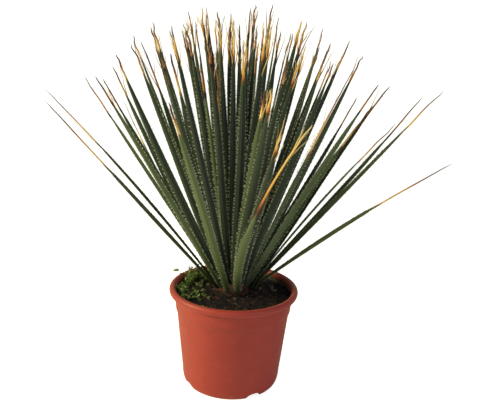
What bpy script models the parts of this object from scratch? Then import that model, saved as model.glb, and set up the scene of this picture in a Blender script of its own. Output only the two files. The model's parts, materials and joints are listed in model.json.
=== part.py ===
"""A stiff rosette plant, sold as a potted yucca, in a 19 cm terracotta-coloured plastic pot.

Metres, +Z up. The origin is the middle of the pot's foot, on the floor. The plant is seen
from the -Y side, with +X on the right. There are three pieces: the pot, the soil that fills
it, and the rosette, whose short stem stands in a hole in the soil.
"""

import math
from collections import namedtuple

import bmesh
import bpy
import numpy as np
from mathutils import Matrix, Vector, noise

# The pot, all radii to its outside
POT_HEIGHT = 0.148
RIM_RADIUS = 0.095
BEAD_WIDTH = 0.009
BEAD_HEIGHT = 0.0104
BEAD_CURL = -120
COLLAR_TOP_RADIUS = 0.0875
COLLAR_FOOT_RADIUS = 0.0848
COLLAR_FOOT_Z = 0.1145
STEP_HEIGHT = 0.001
BODY_TOP_RADIUS = 0.0833
BODY_FOOT_RADIUS = 0.0731
BODY_FOOT_Z = 0.018
FOOT_RADIUS = 0.0675
FOOT_WIDTH = 0.0045
WALL = 0.0018
FLOOR_Z = 0.009
FLOOR_FILLET = 0.003
SIDES = 48

# Drainage: bites out of the foot's edge, and holes in the floor above it
NOTCHES = 4
NOTCH_AZIMUTH = math.radians(30)
NOTCH_WIDTH = 0.022
NOTCH_HEIGHT = 0.0072
NOTCH_DEPTH = 0.024
DRAIN_RADIUS = 0.006
DRAIN_REACH = 0.040
CUTTER_SIDES = 16

# The gap between pieces that touch
CLEARANCE = 0.0003

# The soil
SOIL_EDGE_Z = 0.1345
SOIL_CROWN_Z = 0.1385
SOIL_RINGS = 7
CLOD_HEIGHT = 0.0016
CLOD_SIZE = 0.016
MOSS_MOUND = 0.006
MOSS_AZIMUTH = math.radians(190)
MOSS_REACH = 0.058
MOSS_SPREAD = 0.026

# The crown that carries the leaves, and the stem under it
CROWN_Z = 0.150
CROWN_TOP_Z = 0.167
CROWN_EDGE_Z = 0.1445
CROWN_RINGS = (0.0, 0.4, 0.7, 0.88, 1.0)
CROWN_FALL = 2.2
STEM_RADIUS = 0.0235
STEM_FOOT_RADIUS = 0.0175
STEM_FOOT_Z = 0.104
STEM_TIP_RADIUS = 0.0105
STEM_TIP_HEIGHT = 0.004
STEM_SIDES = 24

# A leaf: its width at shares of its length, and the rest in metres. The leaves of the
# middle are narrower. A leaf on the viewer's side turns its outer face to the front, by
# FACE_TURN degrees where it points sideways, and LEAF_BEND is in degrees too.
LEAF_WIDTH = 0.0115
MIDDLE_SIDE = 14
MIDDLE_BACK = 28
MIDDLE_BREADTH = 0.88
WIDTH_RANGE = (0.85, 1.08)
WIDTH_PLACES = (0.0, 0.1, 0.3, 0.5, 0.7, 0.84, 0.92)
WIDTH_SHARES = (0.72, 0.82, 1.0, 0.93, 0.77, 0.47, 0.18)
LEAF_KEEL = 0.0016
THREAD_KEEL = 0.0008
LEAF_BEND = 1.5
LEAF_TWIST = 6
FACE_TURN = 46
ROOT_REACH = 0.0210
ROOT_DEPTH = 0.003
WIDEST_LEAN = math.radians(38)
LEAN_SPREAD = 0.7

# The teeth on its edges: true size, but fewer than on the plant
TOOTH_PLACES = (0.2, 0.43, 0.66)
TOOTH_SHIFT = 0.04
TOOTH_LENGTH = 0.0016
TOOTH_RUN = 0.0026
TOOTH_BACK = 0.0009

# The dry tip: the blade ends in one thread, and more fibres split from it
THREAD_START = 0.92
FIBRE_LEAD = 0.06
FIBRE_STEP = 0.03
FIBRE_REACH = (0.75, 1.0)
FIBRE_WIDTH = 0.0012
FIBRE_SPREAD = 11

# The leaves that a rule places round the axis, between the ones that stand apart
RULED_LEAVES = 46
GOLDEN_ANGLE = math.radians(137.508)
SIDE_LEAN = 25
BACK_LEAN = 40
FRONT_LEAN = 29
RULED_LENGTH = 0.376
LENGTH_VARIATION = 0.05
SEED = 19

# A leaf by the leans of the line from crown to tip, in whole degrees: side is + to the
# right, back is + away from the viewer. Then its length, the fibres at its dry tip, and
# the share of its length at which it has dried to a thread, how many degrees its path bends,
# and for a leaf whose face the photo shows clearly, the turn of that face in degrees.
Leaf = namedtuple(
    "Leaf",
    "side back length fibres thread bend turn",
    defaults=(THREAD_START, LEAF_BEND, None),
)

LEFT_LEAVES = (
    Leaf(-46, 8, 0.396, 2, 0.73, bend=7.5, turn=-2),
    Leaf(-44, -10, 0.372, 1, 0.70, bend=0, turn=-17),
    Leaf(-39, 15, 0.382, 1, 0.82, turn=58),
    Leaf(-30, -20, 0.366, 2, turn=28),
    Leaf(-33, 0, 0.349, 1, 0.87, turn=-24),
    Leaf(-25.2, -15, 0.373, 1, bend=-5, turn=42),
    Leaf(-31.4, 10, 0.364, 2, bend=-3, turn=78),
    Leaf(-22.3, -10, 0.373, 2, bend=-1, turn=40),
    Leaf(-24, 15, 0.389, 2, 0.85, turn=-26),
    Leaf(-19, 0, 0.385, 1, turn=47),
    Leaf(-15, -15, 0.355, 1),
    Leaf(-16, 10, 0.388, 2, turn=-8),
    Leaf(-12, -5, 0.378, 1),
    Leaf(-13, 15, 0.376, 1),
)
MIDDLE_LEAVES = (
    Leaf(-11, 0, 0.393, 3),
    Leaf(-8, -10, 0.398, 3),
    Leaf(-8, 10, 0.405, 2),
    Leaf(-6, 0, 0.379, 2),
    Leaf(-5, -5, 0.389, 3),
    Leaf(-3, 10, 0.396, 3),
    Leaf(-2, -10, 0.381, 1),
    Leaf(-1, 5, 0.375, 2),
    Leaf(1, 0, 0.393, 3),
    Leaf(2, 10, 0.408, 3),
    Leaf(5, -5, 0.400, 3),
    Leaf(7, 5, 0.390, 1),
    Leaf(12, 10, 0.394, 1),
    Leaf(11, -5, 0.389, 1),
)
RIGHT_LEAVES = (
    Leaf(17, 10, 0.396, 1, bend=-4, turn=6),
    Leaf(17, -10, 0.364, 2, bend=-3, turn=-18),
    Leaf(22, 15, 0.364, 2, bend=-4, turn=0),
    Leaf(24, -10, 0.376, 3, bend=-2, turn=-36),
    Leaf(32, 15, 0.334, 1, turn=2),
    Leaf(30, -10, 0.355, 1, bend=3, turn=-42),
    Leaf(36, 10, 0.370, 2, turn=34),
    Leaf(39, -10, 0.331, 1, 0.80, bend=9, turn=9),
    Leaf(42, 5, 0.386, 1, 0.82, bend=-2, turn=12),
    Leaf(42, -5, 0.404, 1, 0.83, bend=0, turn=22),
    Leaf(54, -16, 0.357, 1, 0.70, bend=9, turn=20),
    Leaf(34, 0, 0.328, 1, 0.84, bend=6, turn=38),
)
FRONT_LEAVES = (
    Leaf(15, -41, 0.366, 3),
    Leaf(5, -28, 0.340, 2, bend=3),
    Leaf(6, -33, 0.362, 3),
    Leaf(10, -36, 0.314, 2),
    Leaf(-15, -36, 0.360, 1),
)
BACK_LEAVES = (
    Leaf(8, 41, 0.366, 2),
    Leaf(-12, 40, 0.374, 1),
)


def clear_scene():
    """Empties the file of the objects that it starts with."""
    for thing in list(bpy.data.objects):
        bpy.data.objects.remove(thing)


def add_collection(name):
    """A new collection under the scene's own."""
    collection = bpy.data.collections.new(name)
    bpy.context.scene.collection.children.link(collection)
    return collection


def add_material(thing, name, colour, roughness):
    """Gives the object a plain Principled material."""
    material = bpy.data.materials.new(name)
    material.use_nodes = True
    material.diffuse_color = (*colour, 1.0)
    shader = material.node_tree.nodes["Principled BSDF"]
    shader.inputs["Base Color"].default_value = (*colour, 1.0)
    shader.inputs["Roughness"].default_value = roughness
    shader.inputs["Metallic"].default_value = 0.0
    thing.data.materials.append(material)


def apply_modifiers(thing):
    """Replaces the object's mesh by what its modifiers make of it."""
    graph = bpy.context.evaluated_depsgraph_get()
    mesh = bpy.data.meshes.new_from_object(thing.evaluated_get(graph))
    thing.modifiers.clear()
    thing.data = mesh


def shade_round(thing, edge_degrees):
    """Smooth shading, with the edges that turn by more than this left sharp."""
    thing.data.shade_smooth()
    thing.data.set_sharp_from_angle(angle=math.radians(edge_degrees))


def add_turned(name, profile, sides, collection):
    """Turns a profile of (radius, z) points, which runs down its outer side, about Z."""
    points = [(radius, 0.0, z) for radius, z in profile]
    edges = [(i, i + 1) for i in range(len(points) - 1)]
    mesh = bpy.data.meshes.new(name)
    mesh.from_pydata(points, edges, [])
    thing = bpy.data.objects.new(name, mesh)
    collection.objects.link(thing)
    screw = thing.modifiers.new("Turn", "SCREW")
    screw.steps = sides
    screw.render_steps = sides
    screw.use_merge_vertices = True
    screw.merge_threshold = 0.00001
    return thing


def ellipse_arc(centre, half_width, half_height, first, last, count):
    """Points of an ellipse from one angle to another, both in degrees."""
    angles = np.radians(np.linspace(first, last, count))
    return [
        (centre[0] + half_width * math.cos(a), centre[1] + half_height * math.sin(a))
        for a in angles
    ]


def inner_wall():
    """The pot's inside from the floor's edge up to the bead, as (radius, z)."""
    floor_top = FLOOR_Z + WALL
    taper = (BODY_TOP_RADIUS - BODY_FOOT_RADIUS) / (COLLAR_FOOT_Z - BODY_FOOT_Z)
    foot_radius = BODY_FOOT_RADIUS - WALL - taper * (BODY_FOOT_Z - floor_top)
    return [
        (foot_radius - FLOOR_FILLET, floor_top),
        (foot_radius, floor_top + FLOOR_FILLET),
        (BODY_TOP_RADIUS - WALL, COLLAR_FOOT_Z - STEP_HEIGHT),
        (COLLAR_FOOT_RADIUS - WALL, COLLAR_FOOT_Z + STEP_HEIGHT),
        (COLLAR_TOP_RADIUS - WALL, POT_HEIGHT - BEAD_HEIGHT),
    ]


def pot_profile():
    """The pot's whole section: up the inside, over the bead and down the outside."""
    bead_centre = (RIM_RADIUS - BEAD_WIDTH / 2, POT_HEIGHT - BEAD_HEIGHT / 2)
    bead = ellipse_arc(bead_centre, BEAD_WIDTH / 2, BEAD_HEIGHT / 2, 180, BEAD_CURL, 11)
    foot_centre = (FOOT_RADIUS, BODY_FOOT_Z)
    foot_rounding = BODY_FOOT_RADIUS - FOOT_RADIUS
    foot = ellipse_arc(foot_centre, foot_rounding, BODY_FOOT_Z, 0, -90, 5)
    collar = [
        (COLLAR_TOP_RADIUS, POT_HEIGHT - BEAD_HEIGHT),
        (COLLAR_FOOT_RADIUS, COLLAR_FOOT_Z),
        (BODY_TOP_RADIUS, COLLAR_FOOT_Z - STEP_HEIGHT),
    ]
    under = [
        (FOOT_RADIUS - FOOT_WIDTH, 0.0),
        (FOOT_RADIUS - FOOT_WIDTH, FLOOR_Z),
        (0.0, FLOOR_Z),
    ]
    return [(0.0, FLOOR_Z + WALL)] + inner_wall() + bead + collar + foot + under


def add_cutter(name, radius, depth, place, turn, collection):
    """A round cutter, whose axis is Z before it is turned."""
    shape = bmesh.new()
    bmesh.ops.create_cone(
        shape,
        cap_ends=True,
        segments=CUTTER_SIDES,
        radius1=radius,
        radius2=radius,
        depth=depth,
    )
    mesh = bpy.data.meshes.new(name)
    shape.to_mesh(mesh)
    shape.free()
    cutter = bpy.data.objects.new(name, mesh)
    cutter.matrix_world = Matrix.Translation(place) @ turn
    cutter.hide_render = True
    cutter.display_type = "WIRE"
    collection.objects.link(cutter)


def around(azimuth, reach, z):
    """The point at this reach from the axis, in this direction."""
    return Vector((reach * math.cos(azimuth), reach * math.sin(azimuth), z))


def add_pot(parts, cutters):
    """The turned shell, less its notches and the holes in its floor."""
    pot = add_turned("pot", pot_profile(), SIDES, parts)
    notch_radius = ((NOTCH_WIDTH / 2) ** 2 + NOTCH_HEIGHT**2) / (2 * NOTCH_HEIGHT)
    lying = Matrix.Rotation(math.pi / 2, 4, "Y")
    for k in range(NOTCHES):
        azimuth = NOTCH_AZIMUTH + k * math.tau / NOTCHES
        place = around(azimuth, FOOT_RADIUS, NOTCH_HEIGHT - notch_radius)
        turn = Matrix.Rotation(azimuth, 4, "Z") @ lying
        add_cutter(f"notch_{k}", notch_radius, NOTCH_DEPTH, place, turn, cutters)
        place = around(azimuth + math.pi / NOTCHES, DRAIN_REACH, FLOOR_Z)
        upright = Matrix.Identity(4)
        add_cutter(f"drain_{k}", DRAIN_RADIUS, 4 * WALL, place, upright, cutters)
    cut = pot.modifiers.new("Drainage", "BOOLEAN")
    cut.operation = "DIFFERENCE"
    cut.operand_type = "COLLECTION"
    cut.collection = cutters
    cut.solver = "EXACT"
    apply_modifiers(pot)
    shade_round(pot, 35)
    add_material(pot, "terracotta_plastic", (0.40, 0.062, 0.034), 0.5)


def stem_profile(grow):
    """The stem below the soil's surface, top to bottom, made larger all round by grow."""
    return [
        (STEM_RADIUS + grow, SOIL_CROWN_Z),
        (STEM_FOOT_RADIUS + grow, STEM_FOOT_Z + STEM_TIP_HEIGHT),
        (STEM_TIP_RADIUS + grow, STEM_FOOT_Z - grow),
        (0.0, STEM_FOOT_Z - grow),
    ]


def soil_profile():
    """The soil's section: up the stem's hole, out to the edge and down inside the wall."""
    hole = stem_profile(CLEARANCE)[::-1]
    wall = [(radius - CLEARANCE, z) for radius, z in inner_wall()]
    wall[0] = (wall[0][0], wall[0][1] + CLEARANCE)
    wall[1] = (wall[1][0], wall[1][1] + CLEARANCE)
    radii = [radius for radius, _ in wall]
    heights = [z for _, z in wall]
    edge_radius = float(np.interp(SOIL_EDGE_Z, heights, radii))
    top_radii = np.linspace(hole[-1][0], edge_radius, SOIL_RINGS + 1)[1:]
    rise = (SOIL_CROWN_Z - SOIL_EDGE_Z) * np.linspace(1, 0, SOIL_RINGS + 1)[1:]
    top = [(float(r), SOIL_EDGE_Z + float(dz)) for r, dz in zip(top_radii, rise)]
    side = [point for point in wall[::-1] if point[1] < SOIL_EDGE_Z]
    return hole + top + side + [(0.0, wall[0][1])]


def soil_relief(place):
    """How far the soil's surface rises at this point: clods, and the mound under the moss."""
    clods = noise.noise(Vector((place.x, place.y, 0.0)) / CLOD_SIZE)
    mound = around(MOSS_AZIMUTH, MOSS_REACH, 0.0)
    away = math.hypot(place.x - mound.x, place.y - mound.y) / MOSS_SPREAD
    return CLOD_HEIGHT * clods + MOSS_MOUND * math.exp(-(away**2))


def add_soil(parts):
    """The soil, with a hole for the stem and an uneven surface."""
    profile = soil_profile()
    soil = add_turned("soil", profile, SIDES, parts)
    apply_modifiers(soil)
    hole_edge = STEM_RADIUS + 2 * CLEARANCE
    edge = max(radius for radius, z in profile if z >= SOIL_EDGE_Z) - CLEARANCE
    for vertex in soil.data.vertices:
        reach = math.hypot(vertex.co.x, vertex.co.y)
        if vertex.co.z >= SOIL_EDGE_Z and hole_edge < reach < edge:
            vertex.co.z += soil_relief(vertex.co)
    shade_round(soil, 60)
    add_material(soil, "potting_soil", (0.016, 0.011, 0.008), 0.95)


def ruled_leaves(draw):
    """Leaves by the golden angle, upright in the middle and leaning most at the edge."""
    leaves = []
    for k in range(RULED_LEAVES):
        out = math.sqrt((k + 0.5) / RULED_LEAVES)
        azimuth = k * GOLDEN_ANGLE
        side = SIDE_LEAN * out * math.cos(azimuth)
        back = out * math.sin(azimuth)
        back *= BACK_LEAN if back > 0 else FRONT_LEAN
        length = RULED_LENGTH * (1 + LENGTH_VARIATION * draw.uniform(-1, 1))
        leaves.append(Leaf(side, back, length, int(draw.integers(1, 4))))
    return leaves


def unit(vectors):
    """The vectors, each made one long."""
    return vectors / np.linalg.norm(vectors, axis=-1, keepdims=True)


def crown_height(out):
    """The crown's surface, from its top at 0 to the stem's edge at 1: a low dome."""
    return CROWN_TOP_Z - (CROWN_TOP_Z - CROWN_EDGE_Z) * out**CROWN_FALL


def leaf_path(leaf):
    """What gives the leaf's points, tangents and width direction at shares of its length.

    The line from root to tip is a chord. The leaf lies above it on a flat arc, so it
    leans a little more towards its tip, or below it where its bend is negative.
    """
    lean = np.array((math.tan(math.radians(leaf.side)), math.tan(math.radians(leaf.back))))
    out = np.append(unit(lean), 0.0)
    toward = unit(np.append(lean, 1.0))
    opened = min(1.0, math.acos(toward[2]) / WIDEST_LEAN) ** LEAN_SPREAD
    crown = np.array((0.0, 0.0, CROWN_Z))
    tip = crown + leaf.length * toward
    root_z = crown_height(opened) - ROOT_DEPTH
    root = out * ROOT_REACH * opened + np.array((0.0, 0.0, root_z))
    chord = tip - root
    across = np.array((out[1], -out[0], 0.0))
    inward = np.cross(across, unit(chord))
    bow = math.radians(leaf.bend) / 2 * np.linalg.norm(chord)

    def point_at(t):
        t = np.atleast_1d(t)[:, None]
        return root + t * chord + t * (1 - t) * bow * inward

    def tangent_at(t):
        t = np.atleast_1d(t)[:, None]
        return unit(chord + (1 - 2 * t) * bow * inward)

    return point_at, tangent_at, across


def add_spike(name, sections, apex, collection):
    """A closed solid from three-cornered sections that run to one apex."""
    count = len(sections)
    points = np.vstack([sections.reshape(-1, 3), apex[None]])
    faces = [(2, 1, 0)]
    for i in range(count - 1):
        for a, b in ((0, 1), (1, 2), (2, 0)):
            faces.append((3 * i + a, 3 * i + b, 3 * i + 3 + b, 3 * i + 3 + a))
    last = 3 * (count - 1)
    faces += [(last + a, last + b, 3 * count) for a, b in ((0, 1), (1, 2), (2, 0))]
    mesh = bpy.data.meshes.new(name)
    mesh.from_pydata(points.tolist(), [], faces)
    mesh.update()
    collection.objects.link(bpy.data.objects.new(name, mesh))


def three_corners(centres, tangents, across, widths, keels):
    """Left edge, right edge and keel of each section, with the keel on the outer face."""
    across = unit(across - tangents * (tangents @ across)[:, None])
    inward = np.cross(across, tangents)
    half = across * (widths / 2)[:, None]
    return np.stack([centres - half, centres + half, centres - inward * keels[:, None]], 1)


def add_leaf(name, leaf, draw, collection):
    """One blade with toothed edges and a thread at its tip, and the fibres beside it.

    The widths and the teeth keep their order but move down where the thread starts early.
    """
    point_at, tangent_at, across = leaf_path(leaf)
    turn = draw.normal(0, LEAF_TWIST) + (FACE_TURN * across[1] if leaf.back <= 0 else 0.0)
    twist = math.radians(turn if leaf.turn is None else leaf.turn)
    axis = tangent_at(0.5)[0]
    across = across * math.cos(twist) + np.cross(axis, across) * math.sin(twist)

    early = leaf.thread / THREAD_START
    shift = draw.uniform(-TOOTH_SHIFT, TOOTH_SHIFT)
    places, teeth = [0.0, 0.1], [0.0, 0.0]
    for place in TOOTH_PLACES:
        tip = (place + shift) * early
        places += [tip - TOOTH_RUN / leaf.length, tip, tip + TOOTH_BACK / leaf.length]
        teeth += [0.0, TOOTH_LENGTH, 0.0]
    places = np.array(places + [WIDTH_PLACES[-2] * early, leaf.thread])
    teeth = np.array(teeth + [0.0, 0.0])
    shares = np.interp(places / early, WIDTH_PLACES, WIDTH_SHARES)
    middle = abs(leaf.side) < MIDDLE_SIDE and abs(leaf.back) < MIDDLE_BACK
    breadth = draw.uniform(*WIDTH_RANGE) * (MIDDLE_BREADTH if middle else 1.0)
    widths = LEAF_WIDTH * breadth * shares + 2 * teeth
    keels = np.interp(shares, (WIDTH_SHARES[-1], 1.0), (THREAD_KEEL, LEAF_KEEL))
    tangents = tangent_at(places)
    sections = three_corners(point_at(places), tangents, across, widths, keels)
    add_spike(name, sections, point_at(1.0)[0], collection)

    for k in range(leaf.fibres - 1):
        start = leaf.thread - FIBRE_LEAD + FIBRE_STEP * k
        root = point_at(start)[0]
        tangent = tangent_at(start)
        spread = math.radians(FIBRE_SPREAD) * (1 if k % 2 else -1) * draw.uniform(0.4, 1.0)
        lift = math.radians(FIBRE_SPREAD) * draw.uniform(-0.5, 0.5)
        inward = np.cross(across, tangent[0])
        toward = unit(tangent[0] + math.tan(spread) * across + math.tan(lift) * inward)
        reach = (1.0 - start) * leaf.length * draw.uniform(*FIBRE_REACH)
        width = np.array([FIBRE_WIDTH])
        section = three_corners(root[None], tangent, across, width, width)
        add_spike(f"{name}_fibre_{k}", section, root + toward * reach, collection)


def keep_largest_body(thing):
    """Drops the sealed hollows and loose scraps that the union leaves inside."""
    shape = bmesh.new()
    shape.from_mesh(thing.data)
    waiting = set(shape.faces)
    bodies = []
    while waiting:
        edge_faces = [waiting.pop()]
        body = set(edge_faces)
        while edge_faces:
            face = edge_faces.pop()
            for edge in face.edges:
                for near in edge.link_faces:
                    if near in waiting:
                        waiting.remove(near)
                        body.add(near)
                        edge_faces.append(near)
        bodies.append(body)
    bodies.sort(key=len)
    spare = [face for body in bodies[:-1] for face in body]
    bmesh.ops.delete(shape, geom=spare, context="FACES")
    shape.to_mesh(thing.data)
    shape.free()


def add_rosette(parts):
    """The crown and its stem, with every leaf and fibre fused to it as one solid."""
    crown = [(STEM_RADIUS * out, crown_height(out)) for out in CROWN_RINGS]
    rosette = add_turned("rosette", crown + stem_profile(0.0), STEM_SIDES, parts)
    leaf_parts = add_collection("leaf_parts")
    draw = np.random.default_rng(SEED)
    listed = LEFT_LEAVES + MIDDLE_LEAVES + RIGHT_LEAVES + FRONT_LEAVES + BACK_LEAVES
    for k, leaf in enumerate(list(listed) + ruled_leaves(draw)):
        add_leaf(f"leaf_{k}", leaf, draw, leaf_parts)
    bpy.context.view_layer.update()
    fuse = rosette.modifiers.new("Fuse", "BOOLEAN")
    fuse.operation = "UNION"
    fuse.operand_type = "COLLECTION"
    fuse.collection = leaf_parts
    fuse.solver = "EXACT"
    apply_modifiers(rosette)
    for thing in list(leaf_parts.objects):
        bpy.data.objects.remove(thing)
    bpy.data.collections.remove(leaf_parts)
    keep_largest_body(rosette)
    shade_round(rosette, 30)
    add_material(rosette, "rosette_leaf", (0.035, 0.065, 0.028), 0.5)


def main():
    """Builds the pot, the soil and the rosette."""
    clear_scene()
    parts = add_collection("potted_rosette")
    cutters = add_collection("cutters")
    cutters.hide_render = True
    add_pot(parts, cutters)
    add_soil(parts)
    add_rosette(parts)


main()
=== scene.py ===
# %% [markdown]
# # A rosette plant in its nursery pot
# The object is a stiff rosette of narrow toothed leaves with straw-dry tips, in a round
# terracotta-coloured plastic pot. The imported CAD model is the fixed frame: it gives the size
# and the place of the pot, the soil and the plant. Here each of them is made again with finer
# surfaces that keep its form, and gets what the solids can't carry, such as teeth, fibres,
# seedlings and colour.

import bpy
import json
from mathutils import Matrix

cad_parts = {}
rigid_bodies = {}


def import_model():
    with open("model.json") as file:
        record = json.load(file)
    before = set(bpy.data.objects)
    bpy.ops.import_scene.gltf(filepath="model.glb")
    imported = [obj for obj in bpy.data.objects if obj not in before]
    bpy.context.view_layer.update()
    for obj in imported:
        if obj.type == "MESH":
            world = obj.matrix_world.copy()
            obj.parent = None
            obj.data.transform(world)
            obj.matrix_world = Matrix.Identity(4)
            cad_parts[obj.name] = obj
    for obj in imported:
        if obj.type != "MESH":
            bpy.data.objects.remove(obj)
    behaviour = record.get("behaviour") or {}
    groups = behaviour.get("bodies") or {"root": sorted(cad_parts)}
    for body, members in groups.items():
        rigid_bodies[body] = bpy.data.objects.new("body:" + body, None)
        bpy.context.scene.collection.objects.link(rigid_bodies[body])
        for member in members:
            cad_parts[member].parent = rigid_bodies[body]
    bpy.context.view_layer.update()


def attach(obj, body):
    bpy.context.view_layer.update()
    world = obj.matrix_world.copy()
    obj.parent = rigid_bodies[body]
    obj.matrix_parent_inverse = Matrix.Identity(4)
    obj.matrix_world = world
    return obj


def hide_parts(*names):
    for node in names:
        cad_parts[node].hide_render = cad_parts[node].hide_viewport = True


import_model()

import json
import math

import bpy
import numpy as np
from mathutils import Matrix

UP = np.array((0.0, 0.0, 1.0))

# %% [markdown]
# ## The camera
# The photograph's view was found by fitting a pinhole camera to the pot's rim, collar and
# foot, whose sizes are known. The camera looks down a little, and it was held slightly
# askew, so it is turned about its own line of sight as well.

# %% Place the camera
CAMERA_PLACE = (0.0, -0.8601, 0.4986)
PITCH, PAN, ROLL = np.radians((14.3, 1.2, 2.6))
LENS_MM, SENSOR_MM = 44.64, 36.0


def aimed(name, data, place, axes):
    """Puts a camera or a lamp at its place, with its own x, y and z along the axes."""
    thing = bpy.data.objects.new(name, data)
    turn = Matrix([[axis[i] for axis in axes] for i in range(3)]).to_4x4()
    thing.matrix_world = Matrix.Translation(place) @ turn
    bpy.context.scene.collection.objects.link(thing)
    return thing


flat_ahead = np.array((math.sin(PAN), math.cos(PAN), 0.0))
ahead = flat_ahead * math.cos(PITCH) - UP * math.sin(PITCH)
level = np.array((math.cos(PAN), -math.sin(PAN), 0.0))
upright = np.cross(level, ahead)
right = level * math.cos(ROLL) + upright * math.sin(ROLL)
up = upright * math.cos(ROLL) - level * math.sin(ROLL)
lens = bpy.data.cameras.new("camera")
lens.lens, lens.sensor_width = LENS_MM, SENSOR_MM
bpy.context.scene.camera = aimed("camera", lens, CAMERA_PLACE, (right, up, -ahead))
print("camera looks along", ahead.round(3))

# %% [markdown]
# ## From arrays to a piece
# Every piece below is worked out as arrays of points and faces. One function puts them into
# a mesh in one go, with numbers that the materials read at each point, such as how dry the
# leaf is there. The piece also gets a flat chart, a UV map in which each strip of the
# surface has its own place, so that its colours can be baked.

# %% Put points and faces into a mesh
def add_piece(name, points, faces, chart, **numbers):
    """A new object from points (n, 3) and faces, a list of (m, corners) arrays of point numbers.

    chart holds the flat place (u, v) of every corner of those faces, in the same order, and
    numbers are values for each point.
    """
    mesh = bpy.data.meshes.new(name)
    corners = np.concatenate([part.ravel() for part in faces]).astype(np.int32)
    sides = np.concatenate([np.full(len(part), part.shape[1]) for part in faces])
    starts = np.concatenate([[0], np.cumsum(sides)[:-1]]).astype(np.int32)
    mesh.vertices.add(len(points))
    mesh.vertices.foreach_set("co", np.asarray(points, np.float32).ravel())
    mesh.loops.add(len(corners))
    mesh.loops.foreach_set("vertex_index", corners)
    mesh.polygons.add(len(starts))
    mesh.polygons.foreach_set("loop_start", starts)
    mesh.update(calc_edges=True)
    mesh.shade_smooth()
    layer = mesh.uv_layers.new(name="OFBake")
    flat = np.concatenate([part.reshape(-1, 2) for part in chart])
    layer.data.foreach_set("uv", flat.astype(np.float32).ravel())
    for number, values in numbers.items():
        layer = mesh.attributes.new(number, "FLOAT", "POINT")
        layer.data.foreach_set("value", np.asarray(values, np.float32).ravel())
    if mesh.validate():
        print(name, "had faults that were mended")
    thing = bpy.data.objects.new(name, mesh)
    bpy.context.scene.collection.objects.link(thing)
    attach(thing, "root")
    print(f"{name}: {int((sides - 2).sum())} triangles, {volume(points, faces) * 1e6:.2f} cm3")
    return thing


def volume(points, faces):
    """What closed faces hold: a sixth of a . (b x c) over all triangles. Above 0 they face out."""
    total = 0.0
    for part in faces:
        for k in range(1, part.shape[1] - 1):
            a, b, c = (points[part[:, i]] for i in (0, k, k + 1))
            total += float((a * np.cross(b, c)).sum()) / 6
    return total


def crease(thing, degrees):
    """Keeps the edges that turn by more than this angle sharp."""
    thing.data.set_sharp_from_angle(angle=math.radians(degrees))


# %% [markdown]
# ## Turned surfaces
# The pot, the soil and the crown are round, so each is a section turned about the axis. The
# section is a list of (radius, height) points from one end of the axis to the other. It is
# refined first, so that a curve stays smooth, and the turned points can still be moved.

# %% Turn a section about the axis
def finer(section, step):
    """The section with points added along its straight parts, at most a step apart."""
    section = np.asarray(section, float)
    pieces = []
    for start, end in zip(section[:-1], section[1:]):
        count = max(1, math.ceil(float(np.linalg.norm(end - start)) / step))
        pieces.append(start + (end - start) * (np.arange(count)[:, None] / count))
    return np.vstack(pieces + [section[-1:]])


def arc(centre, half_width, half_height, first, last, count):
    """Points of an ellipse: its centre plus the half sizes times the cosine and sine."""
    angle = np.radians(np.linspace(first, last, count))
    x, z = half_width * np.cos(angle), half_height * np.sin(angle)
    return np.stack([centre[0] + x, centre[1] + z], 1)


def turned(section, sides, shape=None):
    """A closed surface: radius times cosine and sine of the angle, and height, and two poles.

    shape may move the points of all rings, given as radius, angle and height grids.
    """
    section = np.asarray(section, float)
    rings = section[1:-1]
    angle = np.arange(sides) * math.tau / sides
    radius, angle = np.broadcast_arrays(rings[:, :1], angle[None])
    height = np.broadcast_to(rings[:, 1:], radius.shape)
    if shape:
        radius, height = shape(radius, angle, height)
    grid = np.stack([radius * np.cos(angle), radius * np.sin(angle), height], -1)
    poles = [[0.0, 0.0, section[0, 1]], [0.0, 0.0, section[-1, 1]]]
    count = len(rings)
    i, j = (k.ravel() for k in np.meshgrid(np.arange(count - 1), np.arange(sides), indexing="ij"))
    number = lambda i, j: i * sides + j % sides
    k = np.arange(sides)
    end, pole = 0 * k + count - 1, 0 * k + count * sides
    faces = [
        np.stack([number(i, j), number(i + 1, j), number(i + 1, j + 1), number(i, j + 1)], 1),
        np.stack([pole, number(0, k), number(0, k + 1)], 1),
        np.stack([number(end, k + 1), number(end, k), pole + 1], 1),
    ]
    run = np.concatenate([[0], np.cumsum(np.linalg.norm(np.diff(section, axis=0), axis=1))])
    flat = lambda j, i: np.stack([j / sides, (run / run[-1])[i]], -1)
    chart = [
        np.stack([flat(j, i + 1), flat(j, i + 2), flat(j + 1, i + 2), flat(j + 1, i + 1)], 1),
        np.stack([flat(k + 0.5, 0 * k), flat(k, 0 * k + 1), flat(k + 1, 0 * k + 1)], 1),
        np.stack([flat(k + 1, end + 1), flat(k, end + 1), flat(k + 0.5, end + 2)], 1),
    ]
    return np.vstack([grid.reshape(-1, 3), poles]), faces, chart


# %% [markdown]
# ## Nodes in few words
# A material is a small network. The methods here add one node each and join it to what feeds
# it, so that a recipe for a colour reads from top to bottom.

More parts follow.
